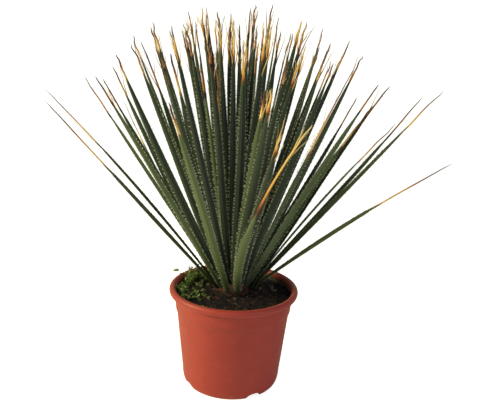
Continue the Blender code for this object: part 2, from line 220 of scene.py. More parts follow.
# %% Helpers for materials
class Network:
    """A node tree, with a method for each kind of node that the recipes use."""

    def __init__(self, tree):
        self.tree = tree

    def join(self, feeds, sockets):
        """Sets the named sockets to values, or joins them to other sockets."""
        for key, value in dict(feeds).items():
            socket = sockets[key]
            if isinstance(value, bpy.types.NodeSocket):
                self.tree.links.new(value, socket)
            elif socket.type == "RGBA" and len(value) == 3:
                socket.default_value = (*value, 1.0)
            else:
                socket.default_value = value

    def put(self, kind, feeds=(), **settings):
        """A new shader node, with its settings, and with its inputs set or joined."""
        node = self.tree.nodes.new("ShaderNode" + kind)
        for name, value in settings.items():
            setattr(node, name, value)
        self.join(feeds, node.inputs)
        return node

    def calc(self, operation, *numbers):
        """One sum on numbers or sockets, such as MULTIPLY."""
        return self.put("Math", enumerate(numbers), operation=operation).outputs[0]

    def spread(self, value, low, high, first=0.0, last=1.0):
        """Stretches the range low to high onto first to last, and holds the ends."""
        return self.put("MapRange", enumerate((value, low, high, first, last))).outputs[0]

    def blend(self, share, first, second):
        """A mix of two colours by the share of the second."""
        return self.put("Mix", {0: share, 6: first, 7: second}, data_type="RGBA").outputs[2]

    def ramp(self, value, *stops):
        """Colours for a value from 0 to 1. A stop is its place, red, green and blue."""
        node = self.put("ValToRGB", {0: value})
        marks = node.color_ramp.elements
        while len(marks) < len(stops):
            marks.new(1.0)
        for mark, (place, *colour) in zip(marks, stops):
            mark.position = place
            mark.color = (*colour, 1.0)
        return node.outputs[0]

    def noise(self, where, scale, detail):
        """A smooth random number for each place."""
        feeds = {"Vector": where, "Scale": scale, "Detail": detail}
        return self.put("TexNoise", feeds).outputs[0]

    def reading(self, name):
        """A number that the mesh holds at each point."""
        return self.put("Attribute", attribute_name=name).outputs["Fac"]

    def position(self):
        """The place on the piece, in metres."""
        return self.put("TexCoord").outputs["Object"]

    def height(self, place):
        """How high a place is."""
        return self.put("SeparateXYZ", {0: place}).outputs[2]

    def effect(self, shared, **feeds):
        """The outputs of a shared effect that is placed here with its own values."""
        node = self.put("Group", node_tree=shared.tree)
        self.join(feeds, node.inputs)
        return node.outputs


class Finish(Network):
    """A material with a Principled shader, whose constant sockets are set directly."""

    def __init__(self, name, **constants):
        self.material = bpy.data.materials.new(name)
        self.material.use_nodes = True
        super().__init__(self.material.node_tree)
        self.shader = self.tree.nodes["Principled BSDF"]
        for key, value in constants.items():
            self.shader.inputs[key.replace("_", " ")].default_value = value

    def dress(self, pieces, colour, roughness=None, height=None, depth=0.0):
        """Puts a colour, a roughness and a relief of that depth in metres on the pieces."""
        feeds = {"Base Color": colour}
        if roughness is not None:
            feeds["Roughness"] = roughness
        if height is not None:
            bump = self.put("Bump", {"Strength": 1.0, "Distance": depth, "Height": height})
            feeds["Normal"] = bump.outputs["Normal"]
        self.join(feeds, self.shader.inputs)
        for piece in pieces:
            piece.data.materials.append(self.material)


class Effect(Network):
    """A shared node group. An input is a number, or a place where None is given."""

    def __init__(self, name, outputs, **inputs):
        super().__init__(bpy.data.node_groups.new(name, "ShaderNodeTree"))
        new_socket = self.tree.interface.new_socket
        for label, value in inputs.items():
            kind = "NodeSocketVector" if value is None else "NodeSocketFloat"
            socket = new_socket(label, in_out="INPUT", socket_type=kind)
            if value is not None:
                socket.default_value = value
        for label in outputs:
            new_socket(label, in_out="OUTPUT", socket_type="NodeSocketFloat")
        self.ins = self.tree.nodes.new("NodeGroupInput").outputs
        self.outs = self.tree.nodes.new("NodeGroupOutput").inputs


# %% [markdown]
# ## Effects that several finishes share
# Three effects are built once as groups, each with its own named inputs. Fine lengthwise
# lines run along leaves and dry fibres. Mottling breaks up an even colour on plastic, bark
# and soil. Soil dust gathers on what stands in the soil, and fades with the distance.

# %% Make the shared effect groups
LINES = Effect(
    "lengthwise_lines", ("Height", "Streak"), Across=0.0, Along=0.0, Tone=0.0, Lines=14.0,
)
fine = LINES.calc("MULTIPLY", LINES.ins["Across"], LINES.ins["Lines"])
slow = LINES.calc("MULTIPLY", LINES.ins["Along"], 6.0)
apart = LINES.calc("MULTIPLY", LINES.ins["Tone"], 60.0)
where = LINES.put("CombineXYZ", enumerate((fine, slow, apart))).outputs[0]
broad = LINES.put("VectorMath", {0: where, 1: (0.2, 0.7, 1.0)}, operation="MULTIPLY").outputs[0]
patterns = {"Height": LINES.noise(where, 1.0, 2.0), "Streak": LINES.noise(broad, 1.0, 3.0)}
LINES.join(patterns, LINES.outs)

MOTTLE = Effect("mottle", ("Patches", "Grain"), Position=None, Size=0.01)
scale = MOTTLE.calc("DIVIDE", 1.0, MOTTLE.ins["Size"])
patches = MOTTLE.noise(MOTTLE.ins["Position"], scale, 4.0)
grain = MOTTLE.noise(MOTTLE.ins["Position"], MOTTLE.calc("MULTIPLY", scale, 9.0), 3.0)
for label, pattern in (("Patches", patches), ("Grain", grain)):
    MOTTLE.join({label: MOTTLE.spread(pattern, 0.3, 0.7)}, MOTTLE.outs)

DUST = Effect("soil_dust", ("Dust",), Position=None, Level=0.137, Reach=0.01)
above = DUST.calc("SUBTRACT", DUST.height(DUST.ins["Position"]), DUST.ins["Level"])
away = DUST.calc("DIVIDE", DUST.calc("ABSOLUTE", above), DUST.ins["Reach"])
uneven = DUST.calc("MULTIPLY_ADD", DUST.noise(DUST.ins["Position"], 420.0, 4.0), 1.6, -0.8)
amount = DUST.calc("ADD", DUST.calc("SUBTRACT", 1.0, away), uneven)
DUST.join({"Dust": DUST.spread(amount, 0.2, 0.75)}, DUST.outs)
print("shared effects:", [group.name for group in bpy.data.node_groups])

# %% [markdown]
# ## The pot
# The real pot is one thin moulding: a tapered body, a collar under a rolled rim, and a foot
# ring with bites that let water out. Its section is turned as in the CAD model, but with
# round curves. The bites are made by lifting the foot's points along an arch, which leaves
# soft edges as a mould does. Cutting them with a Boolean would leave sharp ones. The round
# holes in the floor are cut, because they make new edges where there were none.

# %% The pot's sizes and section
POT_HEIGHT, RIM_RADIUS = 0.148, 0.095
BEAD_WIDTH, BEAD_HEIGHT = 0.009, 0.0104
COLLAR_TOP_RADIUS, COLLAR_FOOT_RADIUS, COLLAR_FOOT_Z = 0.0875, 0.0848, 0.1145
STEP_HEIGHT = 0.001
BODY_TOP_RADIUS, BODY_FOOT_RADIUS, BODY_FOOT_Z = 0.0833, 0.0731, 0.018
FOOT_RADIUS, FOOT_WIDTH = 0.0675, 0.0045
WALL, FLOOR_Z, FLOOR_FILLET = 0.0018, 0.009, 0.003
CLEARANCE, TINY = 0.0003, 1e-6
POT_SIDES, INSIDE_STEP, OUTSIDE_STEP = 288, 0.006, 0.0045

TAPER = (BODY_TOP_RADIUS - BODY_FOOT_RADIUS) / (COLLAR_FOOT_Z - BODY_FOOT_Z)
FLOOR_TOP = FLOOR_Z + WALL
INNER_FOOT = BODY_FOOT_RADIUS - WALL - TAPER * (BODY_FOOT_Z - FLOOR_TOP)
FOOT_INSIDE = FOOT_RADIUS - FOOT_WIDTH
INNER_WALL = [
    (INNER_FOOT - FLOOR_FILLET, FLOOR_TOP),
    (INNER_FOOT, FLOOR_TOP + FLOOR_FILLET),
    (BODY_TOP_RADIUS - WALL, COLLAR_FOOT_Z - STEP_HEIGHT),
    (COLLAR_FOOT_RADIUS - WALL, COLLAR_FOOT_Z + STEP_HEIGHT),
    (COLLAR_TOP_RADIUS - WALL, POT_HEIGHT - BEAD_HEIGHT),
]


def pot_outside():
    """Over the bead as an ellipse, down the collar and the body, and under the foot."""
    bead_centre = (RIM_RADIUS - BEAD_WIDTH / 2, POT_HEIGHT - BEAD_HEIGHT / 2)
    bead = arc(bead_centre, BEAD_WIDTH / 2, BEAD_HEIGHT / 2, 180, -120, 33)
    collar = [
        (COLLAR_TOP_RADIUS, POT_HEIGHT - BEAD_HEIGHT),
        (COLLAR_FOOT_RADIUS + 0.0001, COLLAR_FOOT_Z + 0.0004),
        (COLLAR_FOOT_RADIUS - 0.0003, COLLAR_FOOT_Z),
        (BODY_TOP_RADIUS + 0.0002, COLLAR_FOOT_Z - STEP_HEIGHT * 0.8),
        (BODY_TOP_RADIUS, COLLAR_FOOT_Z - STEP_HEIGHT * 1.5),
    ]
    foot = arc((FOOT_RADIUS, BODY_FOOT_Z), BODY_FOOT_RADIUS - FOOT_RADIUS, BODY_FOOT_Z, 0, -90, 17)
    under = [(FOOT_INSIDE, 0.0), (FOOT_INSIDE, FLOOR_Z), (0.0, FLOOR_Z)]
    return np.vstack([bead, collar, foot, under])


NOTCH_AZIMUTH, NOTCHES = math.radians(30), 4
NOTCH_WIDTH, NOTCH_HEIGHT, NOTCH_ARCH = 0.022, 0.0072, 0.35


def foot_outside(z):
    """The foot's outer radius: a quarter of an ellipse between the foot ring and the body."""
    share = np.clip((BODY_FOOT_Z - z) / BODY_FOOT_Z, 0, 1)
    return FOOT_RADIUS + (BODY_FOOT_RADIUS - FOOT_RADIUS) * np.sqrt(1 - share**2)


def bite_foot(radius, angle, height):
    """Lifts the foot's points over each bite's arch: its height times (1 - (s/half)^2)^0.35."""
    turn = math.tau / NOTCHES
    away = (angle - NOTCH_AZIMUTH + turn / 2) % turn - turn / 2
    share = np.abs(away) * FOOT_RADIUS / (NOTCH_WIDTH / 2)
    roof = NOTCH_HEIGHT * np.clip(1 - share**2, 0, 1) ** NOTCH_ARCH
    outside = (radius >= FOOT_INSIDE - TINY) & (height < BODY_FOOT_Z)
    in_foot = outside & ~((radius < INNER_FOOT + TINY) & (height > FLOOR_Z + TINY))
    out = np.clip((radius - FOOT_INSIDE) / (foot_outside(height) - FOOT_INSIDE), 0, 1)
    top = FLOOR_Z + (BODY_FOOT_Z - FLOOR_Z) * out
    lifted = roof + height * (1 - roof / top)
    moved = FOOT_INSIDE + out * (foot_outside(lifted) - FOOT_INSIDE)
    return np.where(in_foot, moved, radius), np.where(in_foot, lifted, height)


# %% Turn the pot and cut its drain holes
DRAIN_RADIUS, DRAIN_REACH, DRAIN_SIDES = 0.006, 0.040, 32

inside_part = finer([(0.0, FLOOR_TOP)] + INNER_WALL, INSIDE_STEP)
section = np.vstack([inside_part, finer(pot_outside(), OUTSIDE_STEP)])
pot_points, pot_faces, pot_chart = turned(section, POT_SIDES, bite_foot)
is_inside = np.arange(len(section)) < len(inside_part)
inside = np.append(np.repeat(is_inside[1:-1], POT_SIDES), [1.0, 0.0])
pot_shell = add_piece("pot_shell", pot_points, pot_faces, pot_chart, inside=inside)


def cut_out(thing, cutters):
    """Takes the closed cutters out of the thing's mesh, for good."""
    shelf = bpy.data.collections.new("cutters")
    bpy.context.scene.collection.children.link(shelf)
    for name, points, faces in cutters:
        mesh = bpy.data.meshes.new(name)
        mesh.from_pydata(points.tolist(), [], [f for part in faces for f in part.tolist()])
        shelf.objects.link(bpy.data.objects.new(name, mesh))
    cut = thing.modifiers.new("cut", "BOOLEAN")
    cut.operand_type, cut.collection, cut.solver = "COLLECTION", shelf, "EXACT"
    graph = bpy.context.evaluated_depsgraph_get()
    mesh = bpy.data.meshes.new_from_object(thing.evaluated_get(graph))
    thing.modifiers.clear()
    thing.data = mesh
    for cutter in list(shelf.objects):
        bpy.data.objects.remove(cutter)
    bpy.data.collections.remove(shelf)


drains = []
low, high = FLOOR_Z - 2 * WALL, FLOOR_TOP + WALL
for k in range(NOTCHES):
    azimuth = NOTCH_AZIMUTH + (k + 0.5) * math.tau / NOTCHES
    rod = [(0, high), (DRAIN_RADIUS, high), (DRAIN_RADIUS, low), (0, low)]
    points, faces, _ = turned(rod, DRAIN_SIDES)
    points = points + (DRAIN_REACH * math.cos(azimuth), DRAIN_REACH * math.sin(azimuth), 0.0)
    drains.append((f"drain_{k}", points, faces))
cut_out(pot_shell, drains)
crease(pot_shell, 40)
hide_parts("pot")
print("pot has", len(pot_shell.data.polygons), "faces after its drain holes")

# %% [markdown]
# ## The pot's plastic
# Terracotta-coloured polypropylene is satin, a little uneven in colour, and shows faint
# rings from the mould. Inside it is painted almost black, partly for soil stains and partly as
# painted shade, with dust above the soil.

# %% Make the plastic
plastic = Finish(
    "terracotta_plastic", IOR=1.49, Sheen_Weight=0.28, Sheen_Roughness=0.45,
    Sheen_Tint=(1.0, 0.52, 0.34, 1.0),
)
spot, within = plastic.position(), plastic.reading("inside")
uneven = plastic.effect(MOTTLE, Position=spot, Size=0.035)
scuffs = plastic.effect(MOTTLE, Position=spot, Size=0.006)
dusty = plastic.effect(DUST, Position=spot, Level=0.135, Reach=0.016)["Dust"]
colour = plastic.ramp(uneven["Patches"], (0.0, 0.37, 0.032, 0.028), (1.0, 0.42, 0.041, 0.033))
pale = plastic.spread(scuffs["Patches"], 0.72, 1.0, 0.0, 0.22)
colour = plastic.blend(pale, colour, (0.50, 0.09, 0.06))
# Painted shade with soil stain: the inside wall goes almost black.
stained_and_shaded = plastic.blend(plastic.calc("MULTIPLY", within, 0.95), colour, (0.014, 0.005, 0.005))
colour = plastic.blend(plastic.calc("MULTIPLY", dusty, within), stained_and_shaded, (0.020, 0.013, 0.010))
heights = {"W": plastic.calc("MULTIPLY", plastic.height(spot), 420.0), "Detail": 2.0}
rings = plastic.put("TexNoise", heights, noise_dimensions="1D").outputs[0]
relief = plastic.calc("ADD", plastic.calc("MULTIPLY", uneven["Grain"], 0.35), rings)
rough = plastic.spread(scuffs["Grain"], 0.0, 1.0, 0.42, 0.60)
plastic.dress([pot_shell], colour, rough, relief, 0.00012)

# %% [markdown]
# ## The soil
# Potting soil is a heap of crumbs of all sizes. Its bed is a turned surface with a hole for
# the stem and the low mound that the moss grows on. A smooth random field, worked out on a
# grid and blended between its knots, gives it clods. The crumbs you see lie on it as pieces.

# %% Heights of the soil's surface
SOIL_EDGE_Z, SOIL_CROWN_Z = 0.1345, 0.1385
STEM_RADIUS, STEM_FOOT_RADIUS, STEM_TIP_RADIUS = 0.0235, 0.0175, 0.0105
STEM_FOOT_Z, STEM_BEVEL = 0.104, 0.004
MOSS_MOUND, MOSS_AZIMUTH, MOSS_REACH, MOSS_SPREAD = 0.006, math.radians(190), 0.058, 0.026
CLODS = ((0.0014, 0.014, 3), (0.0009, 0.006, 4), (0.0005, 0.0028, 5))
KNOTS = 64
inner_radii, inner_heights = zip(*INNER_WALL)
SOIL_EDGE_RADIUS = float(np.interp(SOIL_EDGE_Z, inner_heights, inner_radii)) - CLEARANCE


def field(x, y, size, seed):
    """Smooth random heights from -1 to 1: grid values blended by 3t^2 - 2t^3 on each side."""
    knots = np.random.default_rng(seed).uniform(-1, 1, (KNOTS, KNOTS))
    u, v = x / size + (KNOTS - 1) / 2, y / size + (KNOTS - 1) / 2
    i, j = np.floor(u).astype(int) % (KNOTS - 1), np.floor(v).astype(int) % (KNOTS - 1)
    s, t = u - np.floor(u), v - np.floor(v)
    s, t = s * s * (3 - 2 * s), t * t * (3 - 2 * t)
    near = knots[i, j] * (1 - s) + knots[i + 1, j] * s
    far = knots[i, j + 1] * (1 - s) + knots[i + 1, j + 1] * s
    return near * (1 - t) + far * t


def soil_height(x, y):
    """A low cone from the crown to the edge, plus the moss mound and clods of three sizes."""
    reach = np.hypot(x, y)
    share = np.clip((reach - STEM_RADIUS) / (SOIL_EDGE_RADIUS - STEM_RADIUS), 0, 1)
    cone = SOIL_CROWN_Z + (SOIL_EDGE_Z - SOIL_CROWN_Z) * share
    mound_x, mound_y = MOSS_REACH * math.cos(MOSS_AZIMUTH), MOSS_REACH * math.sin(MOSS_AZIMUTH)
    mound = MOSS_MOUND * np.exp(-(np.hypot(x - mound_x, y - mound_y) / MOSS_SPREAD) ** 2)
    clods = sum(height * field(x, y, size, seed) for height, size, seed in CLODS)
    loose = np.clip((reach - STEM_RADIUS - CLEARANCE) / 0.003, 0, 1)
    return cone + (mound + clods) * loose


# %% Turn the soil bed
SOIL_SIDES, SOIL_STEP = 240, 0.0013


def lift_soil(radius, angle, height):
    """Only the upper surface moves, up or down to the soil's own height there."""
    surface = soil_height(radius * np.cos(angle), radius * np.sin(angle))
    on_top = (height >= SOIL_EDGE_Z - TINY) & (radius > STEM_RADIUS + CLEARANCE - TINY)
    return radius, np.where(on_top, surface, height)


hole = [
    (0.0, STEM_FOOT_Z - CLEARANCE),
    (STEM_TIP_RADIUS + CLEARANCE, STEM_FOOT_Z - CLEARANCE),
    (STEM_FOOT_RADIUS + CLEARANCE, STEM_FOOT_Z + STEM_BEVEL),
    (STEM_RADIUS + CLEARANCE, SOIL_CROWN_Z - 0.0005),
]
top = finer([(STEM_RADIUS + CLEARANCE, SOIL_CROWN_Z), (SOIL_EDGE_RADIUS, SOIL_EDGE_Z)], SOIL_STEP)
side = np.array([(r - CLEARANCE, z) for r, z in INNER_WALL[::-1] if z < SOIL_EDGE_Z])
side[-2:, 1] += CLEARANCE
section = np.vstack([hole, top, side, [(0.0, side[-1][1])]])
soil_bed = add_piece("soil_bed", *turned(section, SOIL_SIDES, lift_soil))
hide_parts("soil")

# %% Make the potting soil's finish
soil = Finish("potting_soil", Roughness=0.95)
clods = soil.effect(MOTTLE, Position=soil.position(), Size=0.006)
colour = soil.ramp(
    clods["Patches"],
    (0.0, 0.005, 0.004, 0.008), (0.55, 0.010, 0.008, 0.013), (1.0, 0.022, 0.014, 0.018),
)
flecks = soil.spread(clods["Grain"], 0.80, 0.95, 0.0, 0.35)
colour = soil.blend(flecks, colour, (0.12, 0.06, 0.035))
relief = soil.calc("ADD", clods["Patches"], soil.calc("MULTIPLY", clods["Grain"], 0.5))
soil.dress([soil_bed], colour, None, relief, 0.0012)

# %% [markdown]
# ## Spikes
# Leaves, teeth, fibres, stems and crumbs are all one idea: rings of a few corners that
# follow a path and close in one point. One function joins the rings of thousands of spikes
# at a time. Each spike gets a strip of the chart, u round its rings and v along it. Small
# bits of one tone share a strip, because they have the same colour.

# %% Join rings into closed spikes
def unit(vectors):
    """The vectors, each made one long."""
    return vectors / np.linalg.norm(vectors, axis=-1, keepdims=True)


def square_to(tangent, direction):
    """The direction without its part along the tangent, made one long."""
    return unit(direction - tangent * (direction * tangent).sum(-1, keepdims=True))


def facing(path, side):
    """The width and outer directions along paths that lie with their width to one side."""
    tangent = unit(np.gradient(path, axis=1))
    across = square_to(tangent, side[:, None])
    return across, np.cross(tangent, across)


def carried(path, across, outer, width, thickness, corners):
    """Rings along paths. A corner (a, d) lies a widths across and d thicknesses out."""
    return np.stack([
        path + across * (width * a)[..., None] + outer * (thickness * d)[..., None]
        for a, d in corners
    ], -2)


def spikes(sections, apexes, strips, strip_width, v):
    """Closed spikes from sections (spikes, rings, corners, 3): walls, a point and a base.

    The corners of a ring run from the right edge over the outer face, so that the faces
    point out. strips holds where each spike's strip starts in u, and v where its rings lie.
    """
    count, rings, corners = sections.shape[:3]
    points = np.concatenate([sections.reshape(count, -1, 3), apexes[:, None]], 1)
    k, j = (g.ravel() for g in np.meshgrid(np.arange(rings - 1), np.arange(corners), indexing="ij"))
    number = lambda k, j: k * corners + j % corners
    wall = np.stack([number(k, j), number(k, j + 1), number(k + 1, j + 1), number(k + 1, j)], 1)
    e = np.arange(corners)
    last = 0 * e + rings - 1
    tip = np.stack([number(last, e), number(last, e + 1), 0 * e + rings * corners], 1)
    own = np.arange(count)[:, None, None] * (rings * corners + 1)
    faces = [(own + part).reshape(-1, part.shape[1]) for part in (wall, tip, e[::-1][None])]
    flat = lambda j, k: np.stack([j / corners * strip_width, np.append(v, 1.0)[k]], -1)
    maps = [
        np.stack([flat(j, k), flat(j + 1, k), flat(j + 1, k + 1), flat(j, k + 1)], 1),
        np.stack([flat(e, last), flat(e + 1, last), flat(e + 0.5, last + 1)], 1),
        flat(e[::-1] + 0.5, 0 * e)[None],
    ]
    shift = np.stack([strips, 0 * strips], -1)[:, None, None]
    chart = [(shift + part).reshape(-1, part.shape[1], 2) for part in maps]
    return points.reshape(-1, 3), faces, chart


def by_tone(tone):
    """Where the strips of small bits start, and how wide a strip is."""
    return 0.02 + 0.92 * tone, 0.04


def grow(name, slot, sections, apexes, strips, strip_width, v, across=None, **numbers):
    """A piece of spikes. A number is given by spike, or by ring and apex, and across by corner."""
    count, rings, corners = sections.shape[:3]
    given = {}
    if across is not None:
        given["across"] = np.column_stack([np.tile(across, (count, rings)), np.zeros(count)])
    for key, values in numbers.items():
        values = np.broadcast_to(values.reshape(count, -1), (count, rings + 1))
        given[key] = np.concatenate([np.repeat(values[:, :-1], corners, 1), values[:, -1:]], 1)
    piece = add_piece(name, *spikes(sections, apexes, strips, strip_width, v), **given)
    return piece


# %% [markdown]
# ## The leaves as the CAD model has them
# A leaf is given by the leans of the line from the crown to its tip, in degrees, its length
# in millimetres, and the fibres at its tip. Then come the shares of its length, in hundredths,
# where it has become a thread and where its green ends, and last how yellow it is. They were
# measured from the photograph leaf by leaf. The leaves between them follow the golden angle,
# as a rosette grows. The random numbers are drawn in the same order as for the solids.

# %% The leaf list
LEFT_LEAVES = [
    (-46, 8, 396, 2, 73, 70, 80), (-44, -10, 372, 1, 70, 66, 88), (-39, 15, 382, 1, 82, 79, 42),
    (-30, -20, 366, 2, 92, 88, 62), (-33, 0, 349, 1, 87, 84, 85), (-25.2, -15, 373, 1, 92, 90, 12),
    (-31.4, 10, 364, 2, 92, 86, 30), (-22.3, -10, 373, 2, 92, 88, 28),
    (-24, 15, 389, 2, 85, 78, 95), (-19, 0, 385, 1, 92, 90, 25), (-15, -15, 355, 1, 92, 84, 35),
    (-16, 10, 388, 2, 92, 90, 25), (-12, -5, 378, 1, 92, 90, 30), (-13, 15, 376, 1, 92, 88, 30),
]
MIDDLE_LEAVES = [
    (-11, 0, 393, 3, 92, 92, 45), (-8, -10, 398, 3, 92, 92, 30), (-8, 10, 405, 2, 92, 91, 30),
    (-6, 0, 379, 2, 92, 91, 25), (-5, -5, 389, 3, 92, 91, 50), (-3, 10, 396, 3, 92, 91, 30),
    (-2, -10, 381, 1, 92, 90, 25), (-1, 5, 375, 2, 92, 91, 60), (1, 0, 393, 3, 92, 90, 40),
    (2, 10, 408, 3, 92, 91, 30), (5, -5, 400, 3, 92, 91, 35), (7, 5, 390, 1, 92, 90, 35),
    (12, 10, 394, 1, 92, 92, 40), (11, -5, 389, 1, 92, 91, 45),
]
RIGHT_LEAVES = [
    (17, 10, 396, 1, 92, 91, 30), (17, -10, 364, 2, 92, 88, 55), (22, 15, 364, 2, 92, 86, 60),
    (24, -10, 376, 3, 92, 89, 35), (32, 15, 334, 1, 92, 84, 60), (30, -10, 355, 1, 92, 86, 80),
    (36, 10, 370, 2, 92, 84, 30), (39, -10, 331, 1, 80, 77, 100), (42, 5, 386, 1, 82, 78, 76),
    (42, -5, 404, 1, 83, 81, 74), (54, -16, 357, 1, 70, 65, 80), (34, 0, 328, 1, 84, 76, 100),
]
FRONT_LEAVES = [
    (15, -41, 366, 3, 92, 56, 95), (5, -28, 340, 2, 92, 87, 85), (6, -33, 362, 3, 92, 90, 45),
    (10, -36, 314, 2, 92, 90, 30), (-15, -36, 360, 1, 92, 86, 90),
]
BACK_LEAVES = [(8, 41, 366, 2, 92, 88, 40), (-12, 40, 374, 1, 92, 88, 40)]
SEEN_LEAVES = LEFT_LEAVES + MIDDLE_LEAVES + RIGHT_LEAVES
LISTED_LEAVES = SEEN_LEAVES + FRONT_LEAVES + BACK_LEAVES

# %% The leaves that the golden angle places
RULED_LEAVES, GOLDEN_ANGLE = 46, math.radians(137.508)
SIDE_LEAN, BACK_LEAN, FRONT_LEAN = 25, 40, 29
RULED_LENGTH, LENGTH_VARIATION, RULED_THREAD = 376, 0.05, 92
SEED = 19

draw = np.random.default_rng(SEED)
own = np.random.default_rng(SEED + 1)
ruled = []
for k in range(RULED_LEAVES):
    out, azimuth = math.sqrt((k + 0.5) / RULED_LEAVES), k * GOLDEN_ANGLE
    sideways, back = SIDE_LEAN * out * math.cos(azimuth), out * math.sin(azimuth)
    back *= BACK_LEAN if back > 0 else FRONT_LEAN
    length = RULED_LENGTH * (1 + LENGTH_VARIATION * draw.uniform(-1, 1))
    fibres = int(draw.integers(1, 4))
    green, tone = own.uniform(88, 93), own.uniform(5, 55) * own.uniform(0.4, 1)
    ruled.append((sideways, back, length, fibres, RULED_THREAD, green, tone))

rows = np.array(LISTED_LEAVES + ruled, float)
print(len(rows), "leaves in the CAD model,", len(ruled), "of them placed by rule")

# %% The turns of faces and the bends of paths that the photo shows, in degrees by leaf
FACE_TURNS = {
    0: -2, 1: -17, 2: 58, 3: 28, 4: -24, 5: 42, 6: 78, 7: 40, 8: -26, 9: 47, 11: -8, 28: 6,
    29: -18, 30: 0, 31: -36, 32: 2, 33: -42, 34: 34, 35: 9, 36: 12, 37: 22, 38: 20, 39: 38,
}
LEAF_BENDS = {
    0: 7.5, 1: 0, 5: -5, 6: -3, 7: -1, 28: -4, 29: -3, 30: -4, 31: -2, 33: 3, 35: 9, 36: -2,
    37: 0, 38: 9, 39: 6, 41: 3, 95: -12, 98: -9,
}

# %% Draw each leaf's twist, width and fibres as for the solids
LEAF_TWIST, TOOTH_SHIFT, WIDTH_RANGE = 6, 0.04, (0.85, 1.08)
FIBRE_LEAD, FIBRE_STEP, FIBRE_REACH, FIBRE_SPREAD = 0.06, 0.03, (0.75, 1.0), 11

twists, breadths, cad_fibres = [], [], []
for k, row in enumerate(rows):
    twists.append(math.radians(draw.normal(0, LEAF_TWIST)))
    draw.uniform(-TOOTH_SHIFT, TOOTH_SHIFT)  # the solids shift their teeth by this one
    breadths.append(draw.uniform(*WIDTH_RANGE))
    for f in range(int(row[3]) - 1):
        fan = FIBRE_SPREAD * (1 if f % 2 else -1) * draw.uniform(0.4, 1.0)
        rise = FIBRE_SPREAD * draw.uniform(-0.5, 0.5)
        start = row[4] / 100 - FIBRE_LEAD + FIBRE_STEP * f
        cad_fibres.append((k, start, fan, rise, draw.uniform(*FIBRE_REACH)))
cad_fibres = np.array(cad_fibres)

# %% [markdown]
# ## More dried leaves
# A few narrow leaves in the photograph have dried to straw over much of their length. They
# stand against greener ones, so they are added here as companions, inside the outline that
# the solids already have. Each leaf then gets a mark, a number that says in which way its
# tip dries: golden and then grey below 0.33, over a black joint below 0.66, or to a gold
# tuft above it. In the middle of the plant the photo shows mostly the last two.

# %% Add the dried companions and mark the ways of drying
COMPANIONS = [
    (23, -14, 368, 2, 80, 61, 75), (11, -28, 308, 3, 82, 67, 45), (-19, -4, 270, 1, 80, 64, 75),
    (-9, -18, 352, 2, 90, 84, 70), (-5, -17, 352, 2, 84, 64, 65), (-33, 8, 314, 1, 80, 76, 50),
    (0, -14, 362, 2, 90, 86, 50),
]
COMPANION_WIDTH, MIDDLE_WIDTH = 0.62, 0.88
MIDDLE_SIDE, MIDDLE_BACK = 14, 28
JOINTED, TUFTED = 0.33, 0.66
GREYING_TIPS = (0, 1, 35, 37, 38, 39, 41, 44, 93, 95, 97, 98)
JOINTED_TIPS, TUFTED_TIPS = (2, 34, 36, 99), (40, 42, 43, 94)

rows = np.vstack([rows, np.array(COMPANIONS, float)])
more_twists = [math.radians(a) for a in own.normal(0, LEAF_TWIST, len(COMPANIONS))]
twists = np.array(twists + more_twists)
breadths = np.array(breadths + [COMPANION_WIDTH] * len(COMPANIONS))
marks = own.uniform(0, TUFTED, len(rows))
central = (np.abs(rows[:, 0]) < MIDDLE_SIDE) & (np.abs(rows[:, 1]) < MIDDLE_BACK)
marks[central] = own.uniform(0.38, 1.0, int(central.sum()))
breadths[central] *= MIDDLE_WIDTH
for mark, leaves in ((0.1, GREYING_TIPS), (0.5, JOINTED_TIPS), (0.9, TUFTED_TIPS)):
    marks[list(leaves)] = mark
print(len(rows), "leaves in all,", int(central.sum()), "of them central")

# %% [markdown]
# ## A leaf's path
# The line from a leaf's root to its tip is its chord. The leaf lies on a flat arc above it,
# and bends a little from side to side as leaves do. All paths are worked out at once, for
# any number of places along each leaf.

# %% Paths of all leaves
CROWN_Z, CROWN_TOP_Z, CROWN_EDGE_Z, CROWN_FALL = 0.150, 0.167, 0.1445, 2.2
ROOT_REACH, ROOT_DEPTH = 0.0210, 0.003
WIDEST_LEAN, LEAN_SPREAD, LEAF_BEND = math.radians(38), 0.7, 1.5
FACE_TURN, SWAY = math.radians(46), 0.0016
STRAYS = {len(SEEN_LEAVES): (-0.020, -0.014, 0.0), 97: (-0.010, -0.004, 0.0)}

lean = np.tan(np.radians(rows[:, :2]))
lengths = rows[:, 2] / 1000
out = np.column_stack([unit(lean), np.zeros(len(rows))])
toward = unit(np.column_stack([lean, np.ones(len(rows))]))
opened = np.minimum(1.0, np.arccos(toward[:, 2]) / WIDEST_LEAN) ** LEAN_SPREAD
root_z = CROWN_TOP_Z - (CROWN_TOP_Z - CROWN_EDGE_Z) * opened**CROWN_FALL - ROOT_DEPTH
roots = out * (ROOT_REACH * opened)[:, None] + UP * root_z[:, None]
tips = UP * CROWN_Z + lengths[:, None] * toward
chords = tips - roots
flat_across = np.cross(out, UP)
bends = np.full(len(rows), LEAF_BEND)
bends[list(LEAF_BENDS)] = list(LEAF_BENDS.values())
bow_heights = np.radians(bends) / 2 * np.linalg.norm(chords, axis=1)
bows = bow_heights[:, None] * np.cross(flat_across, unit(chords))
twists = twists - np.where(rows[:, 1] <= 0, FACE_TURN * out[:, 0], 0)
twists[list(FACE_TURNS)] = np.radians(list(FACE_TURNS.values()))
twists = twists[:, None]
widthways = flat_across * np.cos(twists) + np.cross(unit(chords), flat_across) * np.sin(twists)
sways = own.normal(0, SWAY, (len(rows), 2))
strays = np.zeros((len(rows), 3))
strays[list(STRAYS)] = list(STRAYS.values())


